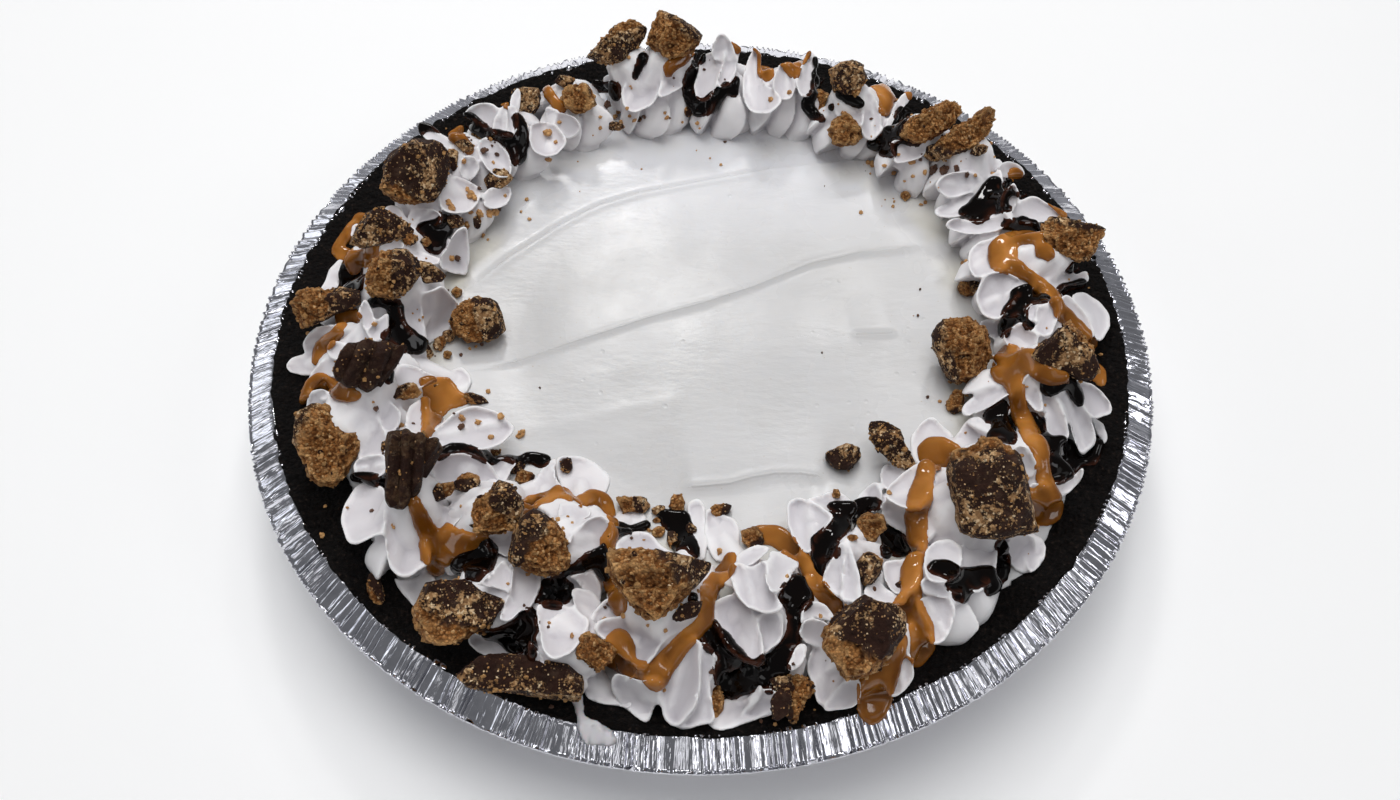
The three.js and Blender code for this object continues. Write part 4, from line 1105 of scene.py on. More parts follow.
def build_fold(k, poly, tree, ground):
    """(points, faces, centre) of one fold of cream, laid against what the tree holds"""
    rng = np.random.default_rng(4000 + k)
    n = 40
    C = closed_curve(poly, n)
    wob = np.arange(n) * 2 * np.pi / n
    C = C + (C - C.mean(0)) * (0.018 * np.sin(5 * wob + rng.uniform(0, 6)) + 0.014 * np.sin(9 * wob + rng.uniform(0, 6)))[:, None]
    area = 0.5 * np.sum(C[:, 0] * np.roll(C[:, 1], -1) - np.roll(C[:, 0], -1) * C[:, 1])
    if area < 0:
        C = C[::-1]
        area = -area
    mid = C.mean(0)
    root = (np.array(poly[0], float) + np.array(poly[-1], float)) / 2
    far = C[np.argmax(np.linalg.norm(C - root, axis=1))]
    axis = far - root
    span = axis @ axis
    # how deep the cream lies under it
    pts = np.concatenate([mid[None]] + [mid + (C[::3] - mid) * q for q in (0.3, 0.6, 0.85)])
    D, c = rays(pts)
    rows, dep = [], []
    for q, d, cc in zip(pts, D, c):
        hit, _n, _i, dist = tree.ray_cast(Vector(CAM_LOC * 1000), Vector(d))
        if hit is not None:
            rows.append([1, q[0] - mid[0], q[1] - mid[1]])
            dep.append(dist * cc)
    A, dep = np.array(rows), np.array(dep)
    keep = dep < np.percentile(dep, 40) + 7
    for _ in range(3):
        sol, *_r = np.linalg.lstsq(np.concatenate([A[keep], np.diag([0, 6.0, 6.0])]), np.concatenate([dep[keep], [0, 0, 0]]), rcond=None)
        res = dep - A @ sol
        keep = np.abs(res) < max(1.5, 1.6 * np.median(np.abs(res)))
    g = sol[1:]
    m = np.linalg.norm(g)
    if m > 0.30:
        g = g * 0.30 / m
    mm = sol[0] / CAM_F
    size = math.sqrt(area) * mm
    lift, sink = (0.13 + 0.06 * rng.random()) * size + 0.6, 0.10 * size
    cup = (0.20 + 0.09 * rng.random()) * size
    gutter = rng.uniform(0.2, 0.7)
    # one or two long creases down the fold
    creases = [(rng.uniform(-0.45, 0.45), rng.uniform(0.05, 0.10) * size, rng.uniform(0.10, 0.17)) for _ in range(int(rng.integers(0, 3)))]
    off = -0.3

    across = np.array([-axis[1], axis[0]]) / math.sqrt(span)
    half = np.abs((C - mid) @ across).max()

    def bowl(Q, q):
        w = (Q - mid) @ across / half
        t = np.clip(np.abs(w), 0, 1)
        out = cup * ((1 - gutter) * (1 - q ** 2) + gutter * (1 - t ** 2) * step01(0, 0.16, 1 - q))
        for w0, high, wide in creases:
            out = out - high * np.exp(-((w - w0) / wide) ** 2) * step01(0.02, 0.20, 1 - q)
        return out

    def at(Q, ext, margin=0.9):
        d, cc = rays(Q)
        t = (sol[0] + (Q - mid) @ g + ext) / cc
        for i in range(len(Q)):
            hit, _n, _i, dist = ground.ray_cast(Vector(CAM_LOC * 1000), Vector(d[i]))
            if hit is not None:
                t[i] = min(t[i], dist - margin)
        return d * t[:, None] + np.array(CAM_LOC) * 1000

    P = []
    s_out = np.clip((C - root) @ axis / span, 0, 1)
    for q in FRONT:
        Q = mid + (C - mid) * q
        s = np.clip((Q - root) @ axis / span, 0, 1)
        e = off + sink * (1 - s) ** 1.5 - lift * s ** 1.3 + bowl(Q, q)
        lip = 0.80 * math.exp(-((q - 0.925) / 0.055) ** 2) * step01(0.05, 0.35, s_out)
        edge = {1.0: 0.50, 0.985: 0.10}.get(float(q), 0.0)
        P.append(at(Q, e - lip + edge, 1.0 - edge))
    s = np.clip((mid - root) @ axis / span, 0, 1)
    ec = off + sink * (1 - s) ** 1.5 - lift * s ** 1.3 + cup
    P.append(at(mid[None], np.array([ec])))
    for q in BACK:
        Q = mid + (C - mid) * q
        s = np.clip((Q - root) @ axis / span, 0, 1)
        t = {0.97: 1.7, 0.82: 0.16 * size + 1.2, 0.45: 0.26 * size + 1.8}[float(q)]
        e = off + sink * (1 - s) ** 1.5 - lift * s ** 1.3 + t
        P.append(at(Q, e, -0.6))
    P.append(at(mid[None], np.array([ec - cup + 0.3 * size + 2.0]), -0.6))
    P = np.concatenate(P)
    nf, nb = len(FRONT), len(BACK)
    away = -rays(mid[None])[0][0]
    w = 0.42 * vnoise(P, 6.0, 4100) + 0.20 * vnoise(P, 2.8, 4200) + 0.05 * vnoise(P, 1.2, 4300)
    P = P + away[None] * w[:, None]
    F3, F4 = [], []
    j = np.arange(n)
    j1 = (j + 1) % n
    for r in range(nf - 1):
        F4.append(np.stack([r * n + j, (r + 1) * n + j, (r + 1) * n + j1, r * n + j1], 1))
    c0 = nf * n
    F3.append(np.stack([(nf - 1) * n + j, np.full(n, c0), (nf - 1) * n + j1], 1))
    b0 = c0 + 1
    F4.append(np.stack([j1, b0 + j1, b0 + j, j], 1))
    for r in range(nb - 1):
        F4.append(np.stack([b0 + r * n + j1, b0 + (r + 1) * n + j1, b0 + (r + 1) * n + j, b0 + r * n + j], 1))
    c1 = b0 + nb * n
    F3.append(np.stack([b0 + (nb - 1) * n + j1, np.full(n, c1), b0 + (nb - 1) * n + j], 1))
    return P, np.concatenate(F4), np.concatenate(F3), P[c0]


def surface_tree(obs):
    V, F, n = [], [], 0
    for ob in obs:
        me = ob.data
        co = np.empty(len(me.vertices) * 3, np.float32)
        me.vertices.foreach_get("co", co)
        me.calc_loop_triangles()
        tri = np.empty(len(me.loop_triangles) * 3, np.int32)
        me.loop_triangles.foreach_get("vertices", tri)
        V.append(co.reshape(-1, 3).astype(float) * 1000)
        F.append(tri.reshape(-1, 3) + n)
        n += len(me.vertices)
    return BVHTree.FromPolygons(np.concatenate(V).tolist(), np.concatenate(F).tolist())


def drop_specks(me, least=16):
    """takes out the specks that the remesh leaves loose"""
    n = len(me.vertices)
    e = np.empty(len(me.edges) * 2, np.int32)
    me.edges.foreach_get("vertices", e)
    e = e.reshape(-1, 2)
    lab = np.arange(n)
    while True:
        low = np.minimum(lab[e[:, 0]], lab[e[:, 1]])
        new = lab.copy()
        np.minimum.at(new, e[:, 0], low)
        np.minimum.at(new, e[:, 1], low)
        new = new[new]
        if (new == lab).all():
            break
        lab = new
    small = np.nonzero(np.bincount(lab, minlength=n)[lab] < least)[0]
    if len(small):
        bm = bmesh.new()
        bm.from_mesh(me)
        bm.verts.ensure_lookup_table()
        bmesh.ops.delete(bm, geom=[bm.verts[int(i)] for i in small], context="VERTS")
        bm.to_mesh(me)
        bm.free()
        me.update()


def meld(ob, voxel, times, target):
    """the piece's overlapping shells as one smooth skin of about target triangles"""
    name = ob.data.name
    mod = ob.modifiers.new("r", "REMESH")
    mod.mode = "VOXEL"
    mod.voxel_size = voxel * MM
    mod.use_smooth_shade = True
    sm = ob.modifiers.new("s", "SMOOTH")
    sm.factor = 0.5
    sm.iterations = times
    me = bpy.data.meshes.new_from_object(ob.evaluated_get(bpy.context.evaluated_depsgraph_get()))
    count = 2 * len(me.polygons)
    ob.modifiers.clear()
    old, ob.data = ob.data, me
    bpy.data.meshes.remove(old)
    if count > target:
        dec = ob.modifiers.new("d", "DECIMATE")
        dec.ratio = target / count
        me2 = bpy.data.meshes.new_from_object(ob.evaluated_get(bpy.context.evaluated_depsgraph_get()))
        ob.modifiers.clear()
        ob.data = me2
        bpy.data.meshes.remove(me)
        me = me2
    drop_specks(me)
    me.name = name
    me.polygons.foreach_set("use_smooth", np.ones(len(me.polygons), bool))
    hollow(me, 14, 1.1)
    return ob


def seat(rec, dollop, seed):
    """the cream that a broken cup is pressed into: the rosette's wound crown, drawn up under it"""
    x, y, z, outline = rec[1], rec[2], rec[3], np.array(rec[9], float)
    x0, y0, r0, h0 = dollop[:4]
    centre = np.array([x, y, z], float)
    end = np.array([x0 + 0.25 * (x - x0), y0 + 0.25 * (y - y0), DOLLOP_Z + 0.38 * h0])
    depth = float((Vector((x, y, z)) - CAM_LOC * 1000).dot(cam_fwd))
    half = 0.5 * min(np.ptp(outline[:, 0]), np.ptp(outline[:, 1])) * depth / CAM_F
    deep = np.linalg.norm(end - centre)
    way = (end - centre) / deep
    e1 = np.cross(way, [0.0, 1.0, 0.0])
    e1 /= np.linalg.norm(e1)
    e2 = np.cross(way, e1)
    n = 36
    th = np.arange(n) * 2 * np.pi / n
    rng = np.random.default_rng(seed)
    ribs, turn, swing = int(rng.integers(6, 9)), 0.11, rng.uniform(0, 6.28)
    steps = np.linspace(0, 1, max(8, int(deep / 1.1)))
    rings = []
    for s in steps:
        r = half * (0.30 + 0.32 * min(1, s / 0.25)) * (1 - s) + 0.60 * r0 * s
        r = r * (1 + 0.13 * np.abs(np.cos(ribs * th / 2 + turn * s * deep + swing)) - 0.06)
        rings.append(centre + way * (s * deep) + (r * np.cos(th))[:, None] * e1 + (r * np.sin(th))[:, None] * e2)
    P = np.concatenate(rings)
    out = np.tile(np.cos(th)[:, None] * e1 + np.sin(th)[:, None] * e2, (len(steps), 1))
    P = P + out * (0.6 * vnoise(P, 4.5, seed) + 0.2 * vnoise(P, 1.8, seed + 1))[:, None]
    P = np.concatenate([P, centre[None], end[None]])
    j = np.arange(n)
    j1 = (j + 1) % n
    F4 = np.concatenate([np.stack([r * n + j, r * n + j1, (r + 1) * n + j1, (r + 1) * n + j], 1) for r in range(len(steps) - 1)])
    m = (len(steps) - 1) * n
    F3 = np.concatenate([np.stack([np.full(n, len(P) - 2), j1, j], 1), np.stack([np.full(n, len(P) - 1), m + j, m + j1], 1)])
    return P, F4, F3


def strand(a, b, ra, rb):
    """a plump strand of cream from a to b"""
    m = max(2, int(np.linalg.norm(b - a) / 1.2))
    D, F = ICO[1]
    V = np.concatenate([a + (b - a) * k / m + D * (ra + (rb - ra) * k / m) for k in range(m + 1)])
    return V, np.concatenate([F + len(D) * k for k in range(m + 1)])


def build_creams(under):
    """the rosettes: the wound cores, then the folds laid against them"""
    cores = [build_dollop(i) for i in range(len(DOLLOPS))]
    V, F, n = [], [], 0
    ground = surface_tree(under)
    for ob in under:
        me = ob.data
        co = np.empty(len(me.vertices) * 3, np.float32)
        me.vertices.foreach_get("co", co)
        me.calc_loop_triangles()
        tri = np.empty(len(me.loop_triangles) * 3, np.int32)
        me.loop_triangles.foreach_get("vertices", tri)
        V.append(co.reshape(-1, 3).astype(float) * 1000)
        F += (tri.reshape(-1, 3) + n).tolist()
        n += len(me.vertices)
    for P, faces in cores:
        V.append(P)
        for f in faces:
            F += (np.asarray(f) + n).tolist()
        n += len(P)
    tree = BVHTree.FromPolygons(np.concatenate(V).tolist(), F)
    parts = []
    for (P, faces), D in zip(cores, DOLLOPS):
        c = np.array([D[0], D[1], DOLLOP_Z - 1.0])
        parts.append(([c + (P - c) * [0.86, 0.86, 0.88]], [f for f in faces], len(P)))
    for k, poly in enumerate(FOLDS):
        P, F4, F3, c = build_fold(k, poly, tree, ground)
        if c[1] > 0 and math.hypot(c[0], c[1]) > 101:
            continue                             # its rays pass over the ring
        d = [math.hypot(c[0] - D[0], c[1] - D[1]) / D[2] for D in DOLLOPS]
        i = int(np.argmin(d))
        VV, FF, m = parts[i]
        VV.append(P)
        FF += [F4 + m, F3 + m]
        m += len(P)
        if 0.95 < d[i] < 1.8:
            # a fold out at the side hangs on its rosette
            x0, y0, _r, h0 = DOLLOPS[i][:4]
            W, F3 = strand(P[-1] + [0, 0, -1.0], np.array([x0, y0, DOLLOP_Z + 0.30 * h0]), 2.2, 4.5)
            VV.append(W)
            FF.append(F3 + m)
            m += len(W)
        parts[i] = (VV, FF, m)
    for k, rec in enumerate(CUPS):
        d = [math.hypot(rec[1] - D[0], rec[2] - D[1]) / D[2] for D in DOLLOPS]
        i = int(np.argmin(d))
        if d[i] > 0.95 or math.hypot(rec[1], rec[2]) > 100:
            continue
        P, F4, F3 = seat(rec, DOLLOPS[i], 6000 + k)
        VV, FF, m = parts[i]
        VV.append(P)
        FF += [F4 + m, F3 + m]
        parts[i] = (VV, FF, m + len(P))
    return [finish_piece(meld(make(f"cream_{i + 1:02d}", np.concatenate(VV), FF), 0.5, 2, 8600), M_CREAM, [f"dollop_{i + 1:02d}"])
            for i, (VV, FF, m) in enumerate(parts)]


# ------------------------------------------------------------------ broken cups
# name, x, y, z of the piece's middle, thickness along the view (mm), way the chocolate lies in the
# picture (degrees), how much towards the viewer it turns, where it starts (-1 all chocolate, 1 none),
# fluting (period mm, direction of the flutes in degrees) and the outline in pixels of the photograph
CUPS = [
    ("cup_a", -23.5, 86, 49.5, 10, 290, 0.3, -0.25, None, [(586, 56), (600, 47), (604, 39), (608, 31), (622, 23), (634, 20), (648, 27), (645, 38), (636, 49), (628, 61), (612, 66), (598, 62)]),
    ("cup_b", -7.2, 85.2, 51.9, 12, 50, 0.1, 0.42, None, [(652, 22), (659, 11), (668, 13), (682, 20), (692, 26), (703, 35), (700, 43), (693, 47), (687, 56), (672, 61), (660, 58), (647, 45), (652, 36)]),
    ("cup_c", -76, 37, 48, 13, 60, 0.4, -0.35, None, [(379, 186), (383, 168), (391, 155), (404, 145), (416, 138), (433, 139), (442, 144), (449, 154), (450, 166), (445, 184), (432, 202), (410, 207), (392, 200)]),
    ("cup_d", -82, 19, 46.5, 8, 90, 0.5, -1.2, None, [(350, 244), (358, 226), (368, 213), (382, 208), (400, 218), (415, 228), (411, 238), (392, 241), (362, 249)]),
    ("cup_e", -75.5, 0.5, 49.5, 11, 0, 0.2, 0.15, None, [(363, 279), (370, 262), (380, 250), (392, 246), (408, 248), (418, 260), (420, 276), (410, 290), (392, 300), (375, 297), (365, 292)]),
    ("cup_f", -93, -4.5, 40.5, 8, 330, 0.1, 0.0, None, [(290, 303), (299, 290), (318, 287), (341, 287), (359, 290), (360, 304), (345, 311), (312, 325), (303, 329), (296, 312)]),
    ("cup_g", -57, 0, 32.6, 10, 15, 0.2, 0.15, None, [(450, 322), (453, 310), (462, 301), (475, 296), (487, 297), (497, 304), (503, 318), (505, 330), (497, 338), (480, 343), (466, 341), (455, 334)]),
    ("cup_h", -76.4, -28, 50, 10, 90, 0.5, -1.2, (4.3, 68), [(343, 353), (350, 343), (368, 340), (386, 342), (405, 346), (402, 355), (390, 369), (380, 388), (368, 392), (350, 387), (333, 378), (338, 366)]),
    ("cup_i", -85, -43.6, 40, 9, 150, 0.1, 0.72, None, [(298, 413), (312, 404), (335, 401), (352, 400), (362, 406), (371, 418), (370, 431), (364, 446), (353, 463), (343, 479), (335, 487), (321, 486), (309, 476), (301, 463), (295, 440)]),
    ("cup_j", -61.5, -57, 50.5, 11, 90, 0.5, -1.2, (2.9, 88), [(385, 442), (388, 432), (404, 430), (418, 435), (438, 440), (442, 450), (436, 461), (427, 476), (420, 491), (412, 504), (400, 511), (391, 506), (386, 495)]),
    ("cup_k", -44.2, -63.2, 46.6, 9, 35, 0.3, 0.25, None, [(467, 518), (470, 504), (480, 494), (498, 481), (509, 484), (521, 495), (525, 510), (520, 526), (505, 533), (488, 534), (474, 529)]),
    ("cup_l", -33, -71.4, 46.4, 11, 145, 0.0, 0.1, None, [(510, 560), (511, 545), (514, 530), (522, 517), (534, 509), (546, 515), (558, 525), (568, 540), (573, 555), (570, 567), (555, 575), (540, 577), (526, 569), (513, 567)]),
    ("cup_m", -49.5, -85.5, 37.6, 11, 65, 0.5, -0.05, None, [(411, 612), (418, 600), (426, 583), (452, 581), (466, 579), (486, 588), (508, 594), (506, 606), (498, 621), (484, 634), (465, 642), (440, 644), (422, 641), (419, 627)]),
    ("cup_n", -37, -99.5, 35.6, 8, 90, 0.5, -1.2, None, [(457, 676), (466, 666), (478, 656), (500, 654), (530, 656), (560, 659), (573, 660), (581, 668), (584, 690), (578, 701), (550, 698), (520, 693), (490, 691), (470, 687)]),
    ("cup_o", -8, -83.5, 51.5, 13, 35, 0.1, 0.42, None, [(605, 561), (609, 549), (625, 548), (640, 547), (660, 551), (680, 554), (700, 557), (713, 562), (711, 569), (700, 581), (690, 593), (678, 606), (665, 616), (648, 620), (636, 613), (621, 592), (609, 576)]),
    ("cup_p", -20.5, -95, 40.5, 7, 90, 0, 1.2, None, [(575, 646), (580, 635), (590, 633), (600, 637), (612, 640), (621, 648), (618, 656), (609, 663), (600, 673), (590, 672), (582, 664), (576, 655)]),
    ("cup_q", 18.6, -101.4, 34.2, 6, 180, 0.2, 0.0, None, [(766, 681), (778, 675), (790, 677), (801, 675), (813, 682), (813, 691), (806, 699), (799, 707), (799, 719), (790, 721), (779, 711), (773, 696)]),
    ("cup_r", 32.3, -95, 49.5, 13, 55, 0.35, 0.0, None, [(818, 640), (822, 628), (836, 619), (843, 609), (858, 599), (864, 594), (880, 599), (896, 605), (906, 615), (906, 631), (896, 641), (890, 656), (878, 671), (862, 679), (845, 681), (835, 669), (822, 653)]),
    ("cup_s", 44.5, -39.5, 34.2, 5, 90, 0.5, -1.2, None, [(868, 428), (872, 417), (885, 420), (900, 429), (907, 448), (915, 464), (909, 471), (893, 463), (877, 450)]),
    ("cup_t", 62.5, -59.5, 48.5, 15, 270, 0.4, -0.55, None, [(947, 468), (952, 454), (965, 444), (985, 437), (998, 442), (1013, 443), (1020, 453), (1022, 470), (1028, 500), (1034, 520), (1036, 531), (1020, 535), (1000, 540), (975, 539), (959, 534), (954, 510), (949, 490)]),
    ("cup_u", 63, -12, 37.4, 12, 195, 0.0, 0.40, None, [(931, 335), (936, 326), (943, 318), (955, 314), (970, 317), (984, 328), (991, 345), (994, 358), (986, 373), (973, 383), (958, 385), (948, 379), (939, 362), (934, 350)]),
    ("cup_v", 84.8, -22.7, 49.5, 9, 230, 0.3, -0.55, None, [(1030, 356), (1040, 345), (1052, 335), (1060, 325), (1068, 321), (1079, 330), (1089, 345), (1096, 358), (1099, 369), (1092, 379), (1080, 381), (1065, 376), (1045, 368)]),
    ("cup_w", 94, 14.2, 46.5, 8, 78, 0.1, 0.62, None, [(1041, 223), (1049, 216), (1065, 218), (1085, 222), (1105, 228), (1103, 237), (1097, 246), (1090, 259), (1078, 263), (1065, 256), (1050, 251), (1040, 241)]),
    ("cup_x", 60.5, 57, 48.6, 9, 90, 0, 1.2, None, [(901, 136), (904, 125), (914, 114), (930, 107), (945, 101), (958, 102), (963, 112), (956, 123), (941, 134), (926, 143), (909, 143)]),
    ("cup_y", 73.6, 52, 48.4, 9, 265, 0.0, 0.62, None, [(930, 151), (940, 138), (955, 125), (970, 115), (985, 107), (996, 111), (994, 125), (986, 140), (971, 151), (955, 157), (940, 159)]),
    ("cup_z", 41, 71.5, 50, 9, 135, 0.3, -0.4, None, [(828, 70), (840, 63), (850, 59), (862, 65), (867, 78), (865, 90), (858, 99), (845, 98), (833, 90)]),
]


def convex(points):
    """the outline's convex hull, anticlockwise"""
    pts = sorted(map(tuple, points))

    def half(seq):
        out = []
        for q in seq:
            while len(out) > 1 and (out[-1][0] - out[-2][0]) * (q[1] - out[-2][1]) - (out[-1][1] - out[-2][1]) * (q[0] - out[-2][0]) <= 0:
                out.pop()
            out.append(q)
        return out[:-1]
    return np.array(half(pts) + half(pts[::-1]))


def chunk(outline, thick, turn, zturn, start, flutes, seed, sub):
    """a broken piece whose outline, seen along +z, is that one: points in mm about its middle"""
    rng = np.random.default_rng(seed)
    D, F = ICO[sub]
    N, dist = [], []
    n = len(outline)
    for k in range(n):
        p0, p1 = outline[k], outline[(k + 1) % n]
        e = p1 - p0
        L = np.linalg.norm(e)
        if L < 0.3:
            continue
        nx, ny = e[1] / L, -e[0] / L
        d = nx * p0[0] + ny * p0[1]
        if d < 0.4:
            d = 0.4
        for tz in (rng.uniform(0.04, 0.34), -rng.uniform(0.05, 0.45)):
            c = math.hypot(1, tz)
            N.append((nx / c, ny / c, tz / c))
            dist.append(d / c)
    h = thick / 2
    faces = [((rng.uniform(-0.28, 0.28), rng.uniform(-0.30, 0.10), 1.0), 0.92), ((rng.uniform(-0.3, 0.3), rng.uniform(-0.3, 0.3), -1), 1.0)]
    if rng.random() < 0.75:
        faces.append(((rng.uniform(-0.25, 0.25), 0.75, 0.70), 1.12))
    if rng.random() < 0.75:
        faces.append(((rng.choice([-1, 1]) * rng.uniform(0.45, 0.8), rng.uniform(-0.2, 0.3), 0.7), 1.10))
    for v, k in faces:
        v = np.array(v) / np.linalg.norm(v)
        N.append(tuple(v))
        dist.append(h * k)
    for _ in range(3):
        u, v = rng.uniform(0, 2 * np.pi), rng.uniform(0.1, 0.7)
        v3 = np.array([math.cos(u) * math.sqrt(1 - v * v), math.sin(u) * math.sqrt(1 - v * v), v])
        reach_xy = (outline @ v3[:2]).max()
        N.append(tuple(v3))
        dist.append((reach_xy + h * v * 0.9) * rng.uniform(0.82, 0.93))
    N, dist = np.array(N), np.array(dist)
    q = np.maximum(D @ N.T, 1e-6) / dist[None]
    p = 220
    top = q.max(1)
    r = 1 / (top * ((q / top[:, None]) ** p).sum(1) ** (1 / p))
    L = D * r[:, None]
    ext = np.abs(L).max(0)
    nw = L / ext[None] ** 1.5
    nw /= np.linalg.norm(nw, axis=1)[:, None]
    a = math.radians(turn)
    side = np.array([math.cos(a), math.sin(a), zturn])
    side /= np.linalg.norm(side)
    S = L + 37.0 * seed
    q = (L @ side) / np.abs(L @ side).max() + 0.15 * vnoise(S, 3.2, seed) + 0.09 * vnoise(S, 1.2, seed + 1)
    choc = step01(start - 0.04, start + 0.04, q)
    size = ext.min()
    rough = 0.04 * size * fbm(S, 4.2, 2, seed + 2)
    k = min(1.0, size / 5.0)
    Q = S + 1.5 * np.stack([vnoise(S, 2.8, seed + j) for j in (21, 22, 23)], 1)
    big = 0.45 + 0.55 * step01(-0.5, 0.5, vnoise(S, 5.0, seed + 24))
    crumb = k * (0.34 * fbm(S, 4.6, 2, seed + 9) + 0.58 * big * (0.50 - cells(Q, 2.4, seed + 3)) + 0.40 * (0.5 - cells(Q, 1.15, seed + 6))
                 + 0.26 * vnoise(S, 0.8, seed + 4))
    chips = k * (0.20 * vnoise(S, 2.2, seed + 5) + 0.34 * (0.5 - cells(S, 4.4, seed + 8)) + 0.08 * vnoise(S, 0.7, seed + 10))
    bites = -0.75 * k * step01(0.12, 0.42, vnoise(S, 4.2, seed + 30)) - 0.35 * k * step01(0.15, 0.35, vnoise(S, 2.0, seed + 31))
    disp = rough + bites * (1 - 0.6 * choc) + (1 - choc) * crumb + choc * (chips + 0.15)
    if flutes:
        disp = disp * 0.55
        period, deg = flutes
        u = L[:, 0] * math.sin(math.radians(deg)) - L[:, 1] * math.cos(math.radians(deg))
        disp = disp + 1.7 * (np.abs(np.sin(np.pi * u / period + 0.35)) ** 0.8 - 0.6) * step01(-0.1, 0.4, nw[:, 2])
    return L + nw * disp[:, None], F, choc


def thin_out(W, F, val, target):
    """the mesh brought down to about target triangles where it is flattest, with its values"""
    ob = make("t", W, F)
    dec = ob.modifiers.new("d", "DECIMATE")
    dec.ratio = target / len(F)
    me = bpy.data.meshes.new_from_object(ob.evaluated_get(bpy.context.evaluated_depsgraph_get()))
    co = np.empty(len(me.vertices) * 3, np.float32)
    me.vertices.foreach_get("co", co)
    co = co.reshape(-1, 3).astype(float) * 1000
    me.calc_loop_triangles()
    tri = np.empty(len(me.loop_triangles) * 3, np.int32)
    me.loop_triangles.foreach_get("vertices", tri)
    kd = KDTree(len(W))
    for i, w in enumerate(W.tolist()):
        kd.insert(w, i)
    kd.balance()
    near = np.array([kd.find(c)[1] for c in co.tolist()])
    old = ob.data
    bpy.data.objects.remove(ob)
    bpy.data.meshes.remove(old)
    bpy.data.meshes.remove(me)
    return co, tri.reshape(-1, 3), val[near]


def grains(W, F, choc, count, seed, lo=0.15, hi=0.72):
    """the piece with crumbs stuck all over it, most on the crumbly side and fewer, in drifts, on the chocolate side"""
    rng = np.random.default_rng(seed)
    tri = W[F]
    area = np.linalg.norm(np.cross(tri[:, 1] - tri[:, 0], tri[:, 2] - tri[:, 0]), axis=1)
    c = choc[F].mean(1)
    drift = step01(-0.25, 0.45, vnoise(tri.mean(1), 4.5, seed + 1))
    w = area * ((1 - c) * 1.0 + c * (0.10 + 0.9 * drift))
    pick = rng.choice(len(F), count, p=w / w.sum())
    b = rng.dirichlet((1, 1, 1), count)
    pos = (tri[pick] * b[:, :, None]).sum(1)
    D, G = ICO[0]
    r = np.clip(rng.lognormal(math.log((lo + hi) / 2.6), 0.50, count), lo, hi)
    V = pos[:, None] + D[None] * (r[:, None, None] * rng.uniform(0.55, 1.35, (count, 12, 1)) * rng.uniform(0.6, 1.2, (count, 1, 3)))
    GF = G[None] + (len(W) + 12 * np.arange(count))[:, None, None]
    dark = (rng.random(count) < 0.16).astype(float)
    return np.concatenate([W, V.reshape(-1, 3)]), np.concatenate([F, GF.reshape(-1, 3)]), np.concatenate([choc, np.repeat(dark, 12)])


def frame_at(px, py):
    """camera-facing axes (right, up, towards the viewer) along a pixel's ray"""
    d = np.array(pixel_ray(px, py))
    r = np.array(cam_right)
    r = r - d * (r @ d)
    r /= np.linalg.norm(r)
    return np.stack([r, np.cross(-d, r), -d], 1), d


def build_cup(k):
    name, x, y, z, thick, turn, zturn, start, flutes, outline = CUPS[k]
    pts = convex([(px, -py) for px, py in outline])
    mid = (pts.max(0) + pts.min(0)) / 2
    B, d = frame_at(mid[0], -mid[1])
    depth = float((Vector((x, y, z)) - CAM_LOC * 1000).dot(cam_fwd))
    t = depth / float(np.array(cam_fwd) @ d)
    centre = np.array(CAM_LOC) * 1000 + d * t
    W, F, choc = chunk((pts - mid) * t / CAM_F * float(np.array(cam_fwd) @ d), thick, turn, zturn, start, flutes, 900 + k, 5)
    W = W @ B.T + centre
    W, F, choc = thin_out(W, F, choc, 5200)
    W, F, choc = grains(W, F, choc, 30 if flutes else 100, 700 + k)
    ob = make(name.replace("cup_", "cup_piece_"), W, F, attrs={"choc": choc, "clean": np.full(len(W), 1.0 if flutes else 0.0)})
    hollow(ob.data, 7, 0.5)
    ob.data.set_sharp_from_angle(angle=math.radians(34))
    return ob


# ------------------------------------------------------------------ run
scene = bpy.context.scene
M_CREAM, M_FILL, M_CRUST, M_FOIL, M_CUP = cream_material(), filling_material(), crust_material(), foil_material(), cup_material()
tin = finish_piece(build_tin(), M_FOIL, ["tin"])
crust = finish_piece(build_crust(), M_CRUST, ["crust"])
filling = finish_piece(build_filling(DOLLOPS), M_FILL, ["filling"])
creams = build_creams([crust, filling])
cups = [finish_piece(build_cup(k), M_CUP, [CUPS[k][0]]) for k in range(len(CUPS))]
print("shapes", round(time.time() - T0, 1))

# ------------------------------------------------------------------ what lies on the cream
# Places are read off the photograph in its pixels; each is carried along the camera's
# ray on to the meshes above, so that everything lies on what carries it.
TREE = surface_tree([tin, crust, filling] + creams)
CAM_MM = CAM_LOC * 1000


def cast(px, py):
    """(point, normal, distance) in mm where the ray through a pixel meets the pie, or None"""
    d = pixel_ray(px, py)
    hit, nor, _i, dist = TREE.ray_cast(CAM_MM, d)
    if hit is None:
        return None
    if hit.y > -60 and math.hypot(hit.x, hit.y) > 103:
        return None                              # a ray that passes over the ring on to the foil
    if nor.dot(d) > 0:
        nor = -nor
    return np.array(hit), np.array(nor), dist * d.dot(cam_fwd), np.array(d)


